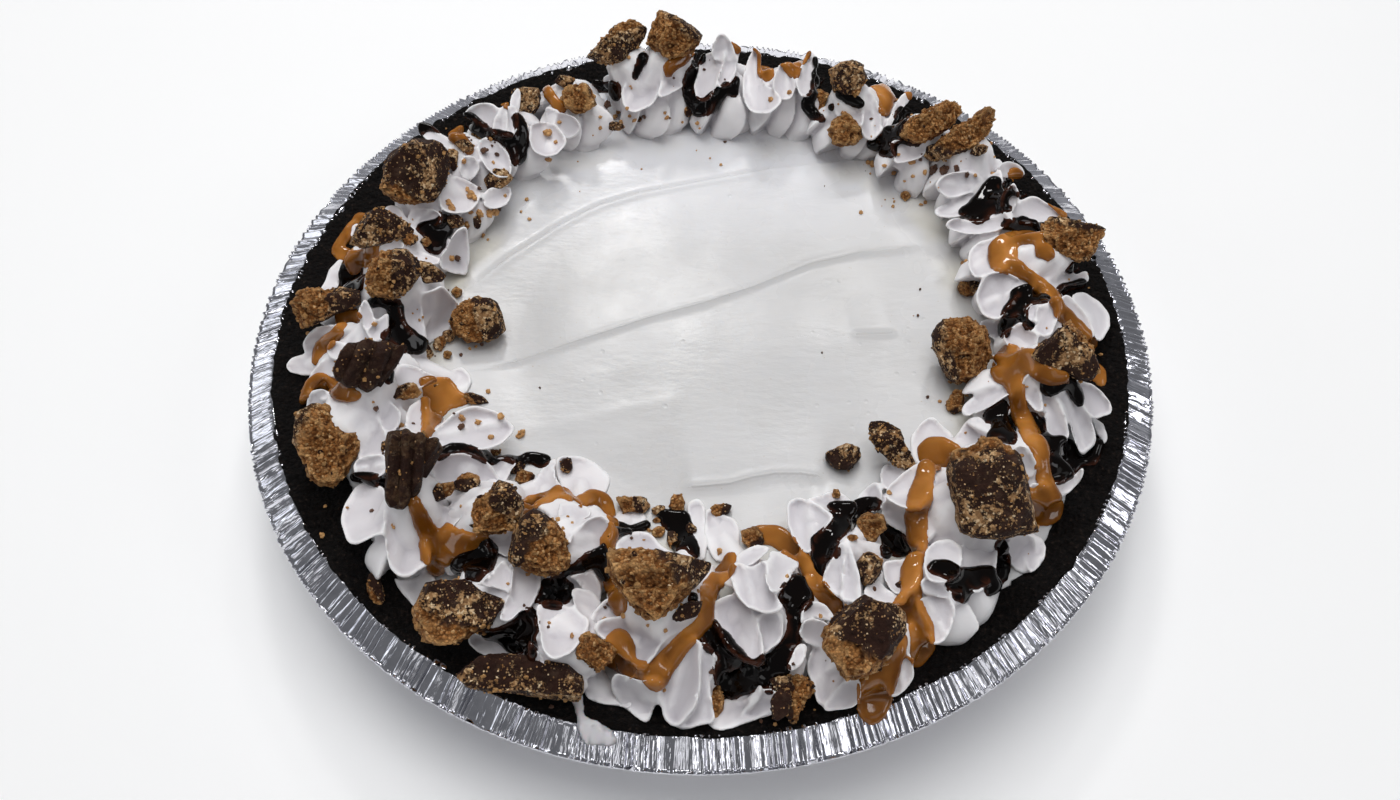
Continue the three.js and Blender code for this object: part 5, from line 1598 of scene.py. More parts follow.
CARAMEL = [
    [(455, 110, 6.5), (455, 122, 6.5), (456, 135, 6.5), (462, 142, 5), (470, 150, 3)], [(451, 111, 4), (460, 110, 4)],
    [(501, 98, 4), (504, 102, 4), (506, 107, 2)], [(528, 90, 4), (535, 86, 6), (541, 84, 4), (546, 88, 3.5), (550, 95, 3.5), (556, 103, 4.5), (562, 108, 4)],
    [(374, 219, 4), (362, 219, 4), (350, 219, 5), (344, 225, 5), (345, 235, 6), (338, 242, 6.5), (336, 250, 4), (342, 255, 5), (352, 257, 6.5), (364, 256, 5), (374, 251, 5), (376, 243, 3.5)],
    [(352, 257, 6.5), (354, 265, 6.5), (354, 268, 5.5)], [(366, 260, 4), (368, 265, 3.5)],
    [(340, 315, 4), (348, 316, 4.5), (355, 315, 4.5), (358, 320, 2.5)], [(340, 316, 4), (342, 325, 4), (338, 333, 5), (330, 340, 5.5), (322, 347, 5.5), (318, 355, 4.5), (315, 362, 2.5)],
    [(303, 400, 2.5), (307, 392, 3.5), (312, 384, 4.5), (320, 379, 5), (330, 384, 6.5), (340, 391, 7.5), (350, 394, 7), (356, 395, 4)],
    [(425, 383, 4.5), (435, 384, 6), (445, 384, 5.5), (450, 391, 6), (455, 401, 7), (463, 400, 4.5)], [(432, 392, 10), (435, 402, 11), (432, 410, 9.5), (440, 408, 8), (430, 420, 7.5), (428, 430, 5), (425, 436, 4)],
    [(413, 499, 3.5), (416, 507, 5.5), (420, 517, 6.5), (425, 527, 7.5), (430, 536, 8.5), (430, 546, 9.5), (433, 556, 10), (437, 565, 8.5)], [(437, 558, 9), (447, 560, 5)],
    [(436, 538, 6), (445, 541, 7.5), (455, 539, 8.5), (465, 540, 9.5), (472, 545, 9.5), (478, 544, 6), (470, 553, 6.5), (460, 553, 6), (452, 550, 6)], [(452, 530, 4), (448, 528, 3)],
    [(518, 512, 5), (522, 508, 5.5), (530, 503, 6), (540, 500, 5), (550, 498, 4), (558, 492, 4.5), (564, 494, 4.5), (570, 498, 3)],
    [(583, 501, 5.5), (592, 498, 6.5), (602, 500, 6), (609, 508, 4), (611, 518, 3.5), (614, 526, 3.5), (612, 533, 5), (607, 541, 6), (608, 551, 4.5), (606, 560, 4.5), (609, 575, 5.5), (613, 588, 6.5), (617, 598, 7.5), (621, 604, 7.5), (620, 609, 5)],
    [(483, 533, 5)],
    [(731, 559, 4.5), (728, 568, 6), (722, 576, 7), (714, 583, 7.5), (708, 592, 8), (706, 602, 6.5), (705, 611, 6.5), (704, 620, 6.5), (697, 627, 7), (689, 636, 7.5), (681, 645, 8), (673, 655, 9), (665, 663, 9.5), (659, 673, 10), (656, 682, 7.5), (648, 676, 6.5), (642, 668, 6), (636, 672, 7.5), (630, 668, 8.5), (625, 660, 8.5), (626, 650, 7), (624, 642, 6.5), (619, 637, 6)], [(612, 641, 5), (612, 660, 5), (620, 662, 6)],
    [(757, 535, 6.5), (765, 535, 8), (775, 536, 9), (784, 541, 9), (791, 549, 8), (799, 555, 6.5), (805, 561, 5.5), (809, 570, 6), (813, 580, 7), (819, 588, 7.5), (826, 595, 7.5), (833, 602, 6.5), (837, 610, 5), (838, 614, 3)],
    [(957, 452, 4.5), (950, 450, 7), (942, 448, 9), (934, 448, 9.5), (926, 452, 8), (928, 461, 6.5), (927, 468, 7), (925, 478, 8), (923, 488, 9), (920, 498, 10.5), (917, 507, 9.5), (916, 517, 10), (918, 527, 9), (916, 535, 9), (920, 545, 6), (917, 555, 6), (914, 563, 7.5), (912, 573, 9), (911, 583, 8.5), (912, 593, 7.5), (911, 603, 9), (915, 613, 10), (919, 623, 11), (922, 633, 12), (922, 643, 11.5), (920, 651, 9.5), (917, 660, 6.5)],
    [(933, 463, 6), (945, 464, 3)], [(905, 600, 7), (900, 606, 6)],
    [(899, 640, 6), (897, 647, 8), (891, 656, 10), (886, 665, 13), (881, 675, 15), (877, 685, 16), (874, 695, 16.5), (873, 703, 15), (872, 711, 11), (871, 717, 6)],
    [(1010, 351, 7), (1012, 357, 10), (1007, 363, 12), (1004, 372, 11), (1012, 371, 12), (1020, 361, 11), (1029, 361, 11), (1038, 367, 9), (1047, 374, 9), (1055, 377, 7), (1062, 377, 4.5)],
    [(1013, 382, 8), (1018, 388, 6), (1017, 395, 6.5), (1018, 403, 7), (1020, 412, 7.5), (1024, 422, 7.5), (1029, 432, 8), (1034, 441, 8), (1040, 450, 7.5), (1041, 460, 5.5), (1042, 470, 5.5), (1044, 480, 6), (1047, 490, 7.5), (1050, 500, 10), (1048, 510, 13), (1040, 513, 12), (1036, 505, 10), (1033, 497, 6), (1030, 492, 4)],
    [(1086, 367, 4), (1095, 371, 6), (1099, 376, 6), (1101, 383, 3.5)],
    [(1014, 173, 5), (1010, 178, 4), (1020, 178, 5), (1026, 186, 4), (1031, 190, 4), (1038, 191, 4), (1045, 196, 4), (1052, 202, 3.5), (1060, 209, 3.5), (1066, 216, 3)],
    [(1041, 238, 5), (1034, 236, 7), (1025, 237, 7), (1016, 238, 5.5), (1006, 242, 7), (1000, 250, 9.5), (999, 259, 9.5), (1000, 265, 8), (1010, 266, 7), (1018, 268, 5.5), (1022, 273, 5.5), (1030, 276, 4.5), (1035, 281, 5.5), (1041, 288, 7), (1048, 293, 6), (1055, 298, 5), (1058, 306, 4.5), (1061, 313, 6), (1067, 318, 6), (1073, 324, 6), (1080, 331, 6.5), (1087, 338, 6.5), (1091, 344, 5.5)],
    [(1012, 246, 3.5), (1014, 254, 4)], [(1043, 250, 7), (1048, 254, 5)],
    [(766, 49, 6), (765, 58, 7), (765, 68, 7), (767, 76, 6.5)], [(767, 60, 5), (776, 58, 4), (781, 56, 4.5), (786, 62, 5), (790, 68, 5.5), (795, 74, 4.5)], [(796, 66, 4), (801, 62, 4), (805, 57, 3), (808, 53, 2)],
    [(736, 41, 5), (740, 44, 5), (737, 50, 3)], [(752, 46, 4), (755, 45, 3)],
    [(884, 85, 5), (884, 93, 7), (886, 101, 6.5), (884, 109, 5), (883, 114, 3)], [(893, 96, 5), (897, 93, 3)], [(877, 88, 4), (870, 83, 3)],
    [(908, 91, 3), (912, 96, 4), (916, 100, 4.5), (923, 100, 4), (929, 98, 3)],
    [(668, 73, 3), (669, 67, 4.5), (675, 63, 5), (682, 59, 5), (689, 54, 4)], [(700, 47, 4)],
]
CHOC = [
    [(700, 50, 5), (701, 57, 5.5), (697, 63, 4.5), (692, 70, 5), (688, 78, 5.5), (687, 86, 5.5), (689, 95, 5.5), (694, 102, 6), (700, 109, 8), (708, 107, 7.5), (714, 99, 6.5), (720, 92, 5.5), (727, 87, 5.5), (733, 86, 4.5), (734, 96, 3)], [(736, 80, 3), (733, 86, 4)],
    [(596, 84, 4), (602, 87, 5), (609, 87, 6), (615, 88, 6), (617, 96, 4)], [(643, 58, 5), (640, 64, 4), (637, 70, 3.5), (635, 76, 2.5)],
    [(771, 47, 3), (777, 49, 3)], [(819, 60, 5), (821, 70, 5.5), (818, 76, 5.5), (816, 84, 4.5), (814, 92, 4), (809, 99, 4.5), (806, 104, 4), (810, 110, 4.5), (815, 116, 4.5), (822, 119, 3)], [(832, 107, 3)],
    [(840, 94, 3.5), (849, 98, 4.5), (856, 102, 5), (861, 104, 3)],
    [(890, 133, 6), (882, 143, 7), (886, 149, 8), (892, 151, 5), (892, 156, 3)], [(872, 144, 3.5), (880, 144, 6)], [(890, 134, 6), (896, 130, 6), (900, 123, 7), (901, 114, 6), (908, 111, 5), (916, 107, 4), (920, 103, 3)], [(915, 90, 3), (919, 94, 4), (923, 97, 3)], [(900, 138, 4), (908, 142, 2.5), (917, 143, 3)],
    [(466, 117, 4.5), (472, 122, 6.5), (479, 127, 6), (486, 132, 5.5), (494, 135, 5), (502, 136, 5), (510, 140, 6.5), (515, 147, 8.5), (517, 154, 8), (516, 160, 5.5)], [(521, 143, 7), (523, 134, 5), (520, 126, 5), (517, 118, 4)],
    [(422, 125, 2.5), (430, 126, 3.5), (437, 127, 4.5), (443, 131, 4), (447, 125, 4), (447, 119, 3)], [(421, 127, 2), (422, 134, 2)],
    [(443, 219, 4), (437, 224, 4.5), (429, 227, 4.5), (421, 229, 4.5)], [(447, 229, 5), (439, 232, 8.5), (430, 235, 7), (437, 242, 8.5), (430, 246, 7), (438, 250, 4)],
    [(346, 265, 3), (345, 275, 5), (352, 280, 7.5), (358, 274, 7), (358, 285, 6.5), (348, 286, 6.5)],
    [(397, 303, 5), (396, 315, 6.5), (397, 325, 8), (393, 334, 8), (403, 333, 8.5), (409, 340, 9), (415, 346, 8), (422, 343, 5.5), (404, 345, 8)], [(388, 342, 4.5), (386, 337, 5)], [(372, 303, 3), (380, 299, 5), (390, 303, 5)],
    [(388, 371, 4), (388, 380, 4.5)], [(440, 457, 3), (443, 453, 4), (450, 450, 4.5), (458, 449, 4), (466, 450, 4), (474, 452, 4.5), (481, 455, 5), (488, 459, 4.5), (494, 461, 3)],
    [(505, 459, 2.5), (512, 460, 3), (519, 463, 3)], [(525, 458, 3), (532, 458, 5), (538, 460, 5), (545, 461, 5), (541, 465, 4)],
    [(354, 477, 3), (362, 478, 4), (370, 478, 4.5), (378, 481, 5.5), (383, 483, 4)],
    [(483, 541, 5), (490, 549, 6.5), (487, 556, 9), (479, 560, 10.5), (470, 563, 9), (462, 563, 7), (458, 566, 6)], [(486, 566, 8), (476, 570, 8), (478, 577, 4), (470, 575, 5)], [(490, 561, 6), (492, 551, 5)],
    [(602, 553, 4.5), (596, 557, 6.5), (588, 560, 7), (580, 565, 6), (573, 568, 4.5), (567, 570, 3)], [(600, 561, 7), (601, 569, 5.5), (605, 576, 3)],
    [(558, 580, 6), (550, 588, 9), (546, 597, 8.5), (554, 597, 10), (562, 595, 9.5), (566, 588, 7)], [(549, 604, 6), (558, 604, 6)], [(537, 600, 3), (542, 600, 5)],
    [(529, 614, 6), (533, 622, 7), (524, 623, 8.5), (514, 629, 9), (505, 633, 9), (498, 634, 6)], [(516, 637, 10), (525, 641, 9), (530, 650, 5.5)], [(511, 645, 6), (520, 648, 6.5)], [(534, 632, 5.5)], [(484, 628, 4), (488, 634, 3.5)],
    [(534, 650, 2.4), (534, 656, 2.0), (533, 663, 1.8), (532, 670, 1.6), (531, 678, 2.2)],
    [(617, 524, 2.5), (628, 530, 3), (637, 529, 3), (646, 525, 3)], [(618, 530, 3), (612, 534, 3.5), (606, 541, 3.5)],
    [(663, 515, 5), (672, 520, 6.5), (681, 518, 6.5), (687, 528, 5.5), (684, 538, 8.5), (690, 545, 6.5), (694, 553, 4)], [(678, 545, 5.5), (676, 530, 6)], [(666, 524, 4)],
    [(692, 598, 5)],
    [(712, 628, 7.5), (705, 637, 6.5), (712, 645, 7.5), (720, 639, 9), (727, 650, 10), (735, 660, 10.5), (742, 669, 12), (732, 678, 12.5), (742, 682, 11), (735, 691, 7)], [(722, 668, 9), (722, 684, 7)], [(750, 678, 8), (752, 688, 5)], [(757, 673, 4.5), (760, 664, 4.5), (763, 661, 4)],
    [(797, 583, 7.5), (790, 590, 8.5), (785, 597, 7.5), (797, 598, 9), (806, 595, 6)], [(809, 602, 4), (797, 606, 7.5), (793, 614, 6.5), (794, 622, 6.5), (793, 632, 6.5), (792, 641, 7.5), (786, 648, 6.5), (780, 655, 6.5), (775, 662, 7.5), (782, 667, 7.5)], [(770, 668, 7), (765, 680, 6.5), (770, 689, 4)], [(763, 658, 4)], [(788, 655, 5)],
    [(835, 517, 4), (841, 523, 5.5), (838, 532, 7.5), (829, 537, 9.5), (821, 543, 9.5), (825, 551, 8.5), (833, 550, 8)], [(816, 556, 4), (823, 561, 3.5)], [(819, 562, 4), (820, 568, 4), (821, 575, 2.5)],
    [(832, 507, 3.5), (842, 510, 6.5), (852, 511, 7.5), (862, 508, 7.5), (871, 505, 6), (877, 505, 5.5)], [(855, 518, 5.5), (850, 526, 4.5)],
    [(887, 533, 6.5), (897, 538, 7.5), (903, 545, 7.5), (893, 546, 9.5), (886, 550, 7)], [(897, 553, 4.5), (908, 547, 4.5)],
    [(934, 569, 6.5), (943, 568, 6), (950, 573, 8.5), (960, 578, 8.5), (970, 576, 6.5), (980, 575, 6.5), (989, 573, 5)], [(990, 578, 4), (980, 583, 5), (965, 586, 6), (958, 593, 6.5), (963, 598, 4)], [(950, 587, 4.5)],
    [(1000, 543, 5), (1003, 555, 6), (1004, 565, 5.5), (1001, 575, 5.5), (996, 584, 5), (988, 591, 4)],
    [(1003, 407, 5), (998, 413, 7.5), (990, 418, 5.5)], [(1000, 425, 8.5), (1007, 434, 7.5), (1013, 441, 4)], [(996, 435, 7), (992, 442, 4)],
    [(1032, 413, 3), (1037, 422, 4.5), (1042, 432, 5), (1046, 441, 4)],
    [(1052, 446, 5), (1060, 444, 6.5), (1067, 451, 9.5), (1060, 458, 11), (1056, 468, 11.5), (1066, 468, 10), (1075, 463, 7)], [(1060, 477, 7), (1051, 477, 5)],
    [(1099, 444, 4), (1097, 452, 5.5), (1094, 460, 5.5), (1088, 461, 4)], [(1101, 463, 4)],
    [(1045, 381, 4.5), (1049, 388, 6.5), (1056, 387, 5.5), (1063, 382, 5), (1069, 382, 5.5), (1073, 389, 5.5), (1077, 396, 4.5), (1079, 402, 3)],
    [(1026, 290, 4.5), (1018, 296, 6.5), (1028, 298, 7)], [(1040, 299, 4.5), (1047, 300, 3.5), (1030, 299, 6)], [(1016, 304, 7), (1010, 312, 7), (1007, 321, 6.5), (1005, 330, 5), (1003, 335, 3)], [(1024, 308, 4), (1026, 325, 3), (1031, 328, 3)],
    [(995, 184, 6.5), (991, 191, 8.5), (986, 199, 8.5), (979, 207, 9.5), (972, 213, 7.5), (965, 213, 5)], [(978, 218, 6.5), (985, 215, 5.5)], [(995, 206, 7.5), (1003, 199, 5), (1005, 190, 6), (1008, 184, 4)], [(1002, 209, 4), (1009, 209, 3)],
    [(1005, 225, 4), (1013, 224, 5.5), (1022, 223, 5.5), (1031, 225, 5), (1038, 228, 5), (1042, 232, 3.5)],
    [(1060, 290, 4), (1067, 287, 4), (1075, 286, 3.5), (1082, 283, 3)], [(1070, 269, 4.5), (1078, 265, 5), (1084, 262, 3.5)],
    [(1021, 194, 4.5)],
]
MILK = [[(577, 697, 4), (578, 703, 3), (579, 711, 2.6), (581, 717, 3)], [(582, 722, 4), (588, 727, 6), (596, 732, 8), (603, 736, 8), (611, 739, 5), (590, 737, 6), (584, 730, 4)]]


def relax(me, times, lam=0.5, mu=-0.525):
    """takes the fine wrinkles out of a mesh and keeps its volume"""
    n = len(me.vertices)
    co = np.empty(n * 3, np.float32)
    me.vertices.foreach_get("co", co)
    co = co.reshape(-1, 3).astype(float)
    e = np.empty(len(me.edges) * 2, np.int32)
    me.edges.foreach_get("vertices", e)
    e = e.reshape(-1, 2)
    src, dst = np.concatenate([e[:, 0], e[:, 1]]), np.concatenate([e[:, 1], e[:, 0]])
    deg = np.maximum(np.bincount(dst, minlength=n), 1)
    for _ in range(times):
        for k in (lam, mu):
            avg = np.stack([np.bincount(dst, co[src, c], n) for c in range(3)], 1) / deg[:, None]
            co = co + k * (avg - co)
    me.vertices.foreach_set("co", co.astype(np.float32).reshape(-1))
    me.update()


def pour(name, strokes, material, top, wide, pitch=1.5, voxel=0.6, target=66000, bridge=(5, 4.5, 2), least=0.32, clear=(0.12, 0.5), lit=0.0):
    """liquid along strokes of (x, y, radius) pixels; top is its full thickness in mm"""
    W, H = int(1400 / pitch) + 1, int(800 / pitch) + 1
    E = np.full((H, W), -1.0)                    # distance in from the liquid's edge, in pixels
    links = []
    for st in strokes:
        dense = []
        for (x0, y0, r0), (x1, y1, r1) in zip(st, st[1:] + [st[-1]]):
            n = max(1, int(math.hypot(x1 - x0, y1 - y0) / 1.2))
            for k in range(n):
                u = k / n
                dense.append((x0 + (x1 - x0) * u, y0 + (y1 - y0) * u, r0 + (r1 - r0) * u))
        for x, y, r in dense:
            wob = 0.35 * math.sin(x * 0.9 + y * 0.5) + 0.3 * math.sin(y * 0.7 - x * 0.3)
            r = r + wob
            i0, i1 = int((y - r) / pitch), int((y + r) / pitch) + 2
            j0, j1 = int((x - r) / pitch), int((x + r) / pitch) + 2
            I, J = np.mgrid[i0:i1, j0:j1]
            d = r - np.hypot(J * pitch - x, I * pitch - y)
            E[i0:i1, j0:j1] = np.maximum(E[i0:i1, j0:j1], d)
        links.append(dense)
    rows, cols = np.nonzero(E > 0)
    D = np.full((H, W), np.nan)
    N = np.zeros((H, W, 3))
    rays = np.zeros((H, W, 3))
    for i, j in zip(rows, cols):
        h = cast(j * pitch, i * pitch)
        if h is None:
            continue
        D[i, j] = np.linalg.norm(h[0] - np.array(CAM_MM))
        N[i, j] = h[1]
        rays[i, j] = h[3]
    ok = ~np.isnan(D)

    # the liquid bridges grooves: its front is the smoothed depth less its thickness
    def smooth(M, R, near, times):
        for _ in range(times):
            base = np.nan_to_num(M)
            acc, wt = np.zeros((H, W)), np.zeros((H, W))
            for di in range(-R, R + 1):
                for dj in range(-R, R + 1):
                    if di * di + dj * dj > R * R + 1:
                        continue
                    Ms = np.roll(M, (di, dj), (0, 1))
                    w = ok & ~np.isnan(Ms) & (np.abs(np.nan_to_num(Ms) - base) < near)
                    acc += np.where(w, np.nan_to_num(Ms), 0)
                    wt += w
            M = np.where(ok, acc / np.maximum(wt, 1), np.nan)
        return M
    e = np.clip(E / wide, 0, 1)
    TH = top * (0.22 + 0.78 * np.sqrt(np.clip(1 - (1 - e) ** 2, 0, 1)))
    front = np.minimum(smooth(D, *bridge) - TH, D - 0.25 - 0.35 * e)
    front = np.maximum(smooth(front, 4, 4.0, 2), D - 3.8)
    front = np.minimum(front, D - least - 0.25 * e)
    cam0 = np.array(CAM_MM)
    C, A, HALF = [], [], []
    for i, j in zip(rows, cols):
        if ok[i, j]:
            f, k = front[i, j], D[i, j] + 0.45
            C.append(cam0 + rays[i, j] * (f + k) / 2)
            A.append(-rays[i, j])
            HALF.append((k - f) / 2)
    # between two levels the stream hangs as a thinner strand
    for dense in links:
        last = None
        for x, y, r in dense:
            i, j = int(round(y / pitch)), int(round(x / pitch))
            if not ok[i, j]:
                last = None
                continue
            q = cam0 + rays[i, j] * (D[i, j] - 0.3)
            if last is not None:
                jump = np.linalg.norm(q - last)
                if 1.3 < jump < 8.0:
                    m = int(jump / 0.4) + 1
                    for k in range(1, m):
                        C.append(last + (q - last) * k / m)
                        A.append(-rays[i, j])
                        HALF.append(0.75)
            last = q
    C, A, HALF = np.array(C), np.array(A), np.array(HALF)
    if len(C) == 0:
        return None
    ball, tri = ICO[1]
    spread = 0.80
    t1 = np.cross(A, np.array([0.3, 0.9, 0.2]))
    t1 /= np.linalg.norm(t1, axis=1)[:, None] + 1e-9
    t2 = np.cross(A, t1)
    V = (C[:, None, :] + ball[None, :, 0:1] * t1[:, None] * spread + ball[None, :, 1:2] * t2[:, None] * spread
         + ball[None, :, 2:3] * A[:, None] * HALF[:, None, None])
    F = (tri[None] + (np.arange(len(C)) * len(ball))[:, None, None]).reshape(-1, 3)
    ob = make(name, V.reshape(-1, 3), F)
    bpy.context.view_layer.objects.active = ob
    mod = ob.modifiers.new("r", "REMESH")
    mod.mode = "VOXEL"
    mod.voxel_size = voxel * MM
    mod.use_smooth_shade = True
    sm = ob.modifiers.new("s", "SMOOTH")
    sm.factor = 0.5
    sm.iterations = 6
    dg = bpy.context.evaluated_depsgraph_get()
    me = bpy.data.meshes.new_from_object(ob.evaluated_get(dg))
    old = ob.data
    ob.modifiers.clear()
    ob.data = me
    bpy.data.meshes.remove(old)
    relax(me, 45)
    if 2 * len(me.polygons) > target:
        dec = ob.modifiers.new("d", "DECIMATE")
        dec.ratio = target / (2 * len(me.polygons))
        me2 = bpy.data.meshes.new_from_object(ob.evaluated_get(bpy.context.evaluated_depsgraph_get()))
        ob.modifiers.clear()
        ob.data = me2
        bpy.data.meshes.remove(me)
        me = me2
    me.name = name
    co = np.empty(len(me.vertices) * 3, np.float32)
    me.vertices.foreach_get("co", co)
    co = co.reshape(-1, 3).astype(float) * 1000
    dist = np.empty(len(co))
    for k, c in enumerate(co.tolist()):
        r = TREE.find_nearest(c, 4.0)
        dist[k] = 4.0 if r[0] is None else r[3]
    thin = 1 - step01(*clear, dist)
    if lit:
        # painted light: where the sauce faces up towards the lamps behind and above it is painted lighter than where it
        # hangs at the cream's side; this goes into the thin attribute together with the sauce's thinness
        nor = np.empty(len(co) * 3, np.float32)
        me.vertices.foreach_get("normal", nor)
        up = step01(0.45, 0.95, nor.reshape(-1, 3).astype(float) @ np.array([0.0, 0.35, 0.937]))
        e = np.empty(len(me.edges) * 2, np.int32)
        me.edges.foreach_get("vertices", e)
        a, b = e.reshape(-1, 2).T
        deg = np.bincount(a, minlength=len(co)) + np.bincount(b, minlength=len(co)) + 1.0
        for _ in range(14):
            up = (up + np.bincount(a, up[b], len(co)) + np.bincount(b, up[a], len(co))) / deg
        thin = np.clip((1 - lit) * 0.9 * thin + lit * up, 0, 1)
    at = me.attributes.new("thin", "FLOAT", "POINT")
    at.data.foreach_set("value", thin.astype(np.float32))
    me.polygons.foreach_set("use_smooth", np.ones(len(me.polygons), bool))
    finish_piece(ob, material)
    print(name, len(C), "blobs", len(me.polygons), "faces", round(time.time() - T0, 1))
    return ob


M_CAR, M_CHO, M_MILK = caramel_material(), choc_material(), milk_material()
choc_ob = pour("chocolate_sauce", CHOC, M_CHO, 1.4, 7.0, bridge=(7, 6.0, 3), least=0.26, clear=(0.16, 0.58))
caramel_ob = pour("peanut_butter_sauce", CARAMEL, M_CAR, 1.9, 7.0, clear=(0.3, 1.7), lit=0.6)
milk_ob = pour("milky_drip", MILK, M_MILK, 0.45, 4.0)

# small broken pieces: pixel place, width and height in pixels, turn of the long side (degrees), share of chocolate
SMALL = [
    (530, 107, 34, 32, 20, 0.85), (518, 85, 17, 18, 0, 0.8), (535, 77, 18, 10, 0, 0.1), (575, 104, 36, 36, 30, 0.12), (566, 83, 22, 13, 0, 0.7),
    (592, 76, 22, 12, 20, 0.7), (496, 182, 30, 24, 20, 0.75), (453, 223, 27, 14, 0, 0.9), (477, 222, 8, 15, 0, 0.7), (467, 226, 10, 10, 0, 0.3),
    (454, 160, 11, 26, 0, 0.7), (465, 147, 20, 12, -20, 0.8), (479, 137, 17, 14, 0, 0.75), (409, 241, 18, 13, 0, 0.3), (426, 243, 14, 11, 0, 0.3),
    (425, 276, 40, 22, -12, 0.9), (427, 353, 11, 36, 28, 0.95), (440, 345, 14, 17, 0, 0.5), (449, 338, 13, 14, 10, 0.95), (448, 356, 11, 11, 0, 0.0),
    (457, 294, 13, 13, 0, 0.0), (403, 395, 34, 19, 10, 0.4), (437, 389, 16, 13, 0, 0.8), (473, 400, 32, 12, -12, 0.5), (440, 493, 36, 20, 35, 0.5),
    (467, 486, 28, 22, 0, 0.5), (515, 470, 36, 12, 10, 0.9), (525, 479, 19, 16, 0, 0.3), (494, 455, 17, 10, 10, 0.05), (451, 449, 10, 7, 0, 0.0),
    (474, 454, 9, 8, 0, 0.8), (385, 447, 6, 16, 0, 1.0), (376, 592, 16, 40, 15, 0.5), (566, 467, 14, 16, 0, 0.9), (632, 507, 36, 25, -10, 0.4),
    (659, 512, 15, 13, 0, 0.9), (658, 533, 15, 13, 20, 0.0), (672, 542, 12, 22, 10, 0.5), (677, 506, 18, 22, 0, 0.05), (691, 531, 11, 12, 0, 0.6),
    (656, 521, 11, 8, 0, 0.1), (686, 611, 36, 16, 22, 0.9), (716, 703, 19, 42, 5, 0.1), (783, 703, 20, 34, -20, 0.9), (870, 530, 34, 32, 0, 0.0),
    (868, 568, 28, 38, -20, 0.7), (852, 539, 11, 9, 0, 0.0), (903, 585, 22, 7, 10, 1.0), (752, 541, 27, 24, -20, 0.3), (720, 512, 24, 15, 15, 0.4),
    (843, 462, 38, 30, 0, 1.0), (955, 405, 18, 30, -15, 0.3), (968, 291, 27, 22, 0, 0.4), (1016, 151, 18, 10, -30, 1.0), (841, 133, 42, 34, -20, 0.0),
    (822, 101, 21, 28, -10, 0.0), (905, 197, 14, 13, 0, 0.0), (836, 494, 10, 12, 0, 0.0), (614, 126, 19, 9, -5, 1.0), (687, 112, 9, 12, 0, 0.6),
    (640, 119, 7, 6, 0, 0.6), (855, 80, 12, 12, 0, 0.3), (935, 152, 26, 20, 30, 0.8), (978, 152, 18, 12, 20, 0.9),
]


def small_piece(px, py, w, h, turn, share, seed):
    hit = cast(px, py)
    if hit is None:
        return None
    P, N, depth, ray = hit
    k = depth / CAM_F
    rng = np.random.default_rng(seed)
    m = int(rng.integers(6, 9))
    th = (np.arange(m) + rng.uniform(-0.3, 0.3, m)) * 2 * np.pi / m + rng.uniform(0, 6.28)
    rad = rng.uniform(0.86, 1.12, m)
    t = math.radians(turn)
    e = np.stack([np.cos(th) * rad * w / 2, np.sin(th) * rad * h / 2], 1) * k
    e = e @ np.array([[math.cos(t), math.sin(t)], [-math.sin(t), math.cos(t)]])
    pts = convex(e)
    c = min(w, h) * k * rng.uniform(0.7, 0.95)
    B, _d = frame_at(px, py)
    sub = 3 if max(w, h) > 15 else 2
    start = np.interp(share, [0, 0.5, 1], [1.3, 0.0, -1.3])
    W, F, choc = chunk(pts, c, rng.uniform(0, 360), 0.3, start, None, seed, sub)
    up = N * 0.4 + np.array([0, 0, 0.4]) - 0.2 * ray
    up /= np.linalg.norm(up)
    return W @ B.T + P + up * c * 0.30, F, choc


SV, SF, SC, n = [], [], [], 0
for k, rec in enumerate(SMALL):
    out = small_piece(*rec, 3000 + k)
    if out is None:
        continue
    W, F, choc = out
    if len(F) > 1000:
        W, F, choc = grains(W, F, choc, 16, 5000 + k, 0.18, 0.45)
    SV.append(W); SF.append(F + n); SC.append(choc)
    n += len(W)
small_ob = finish_piece(make("small_cup_pieces", np.concatenate(SV), np.concatenate(SF), attrs={"choc": np.concatenate(SC)}), M_CUP)
hollow(small_ob.data, 5, 0.4)
small_ob.data.set_sharp_from_angle(angle=math.radians(34))
print("small pieces", round(time.time() - T0, 1))

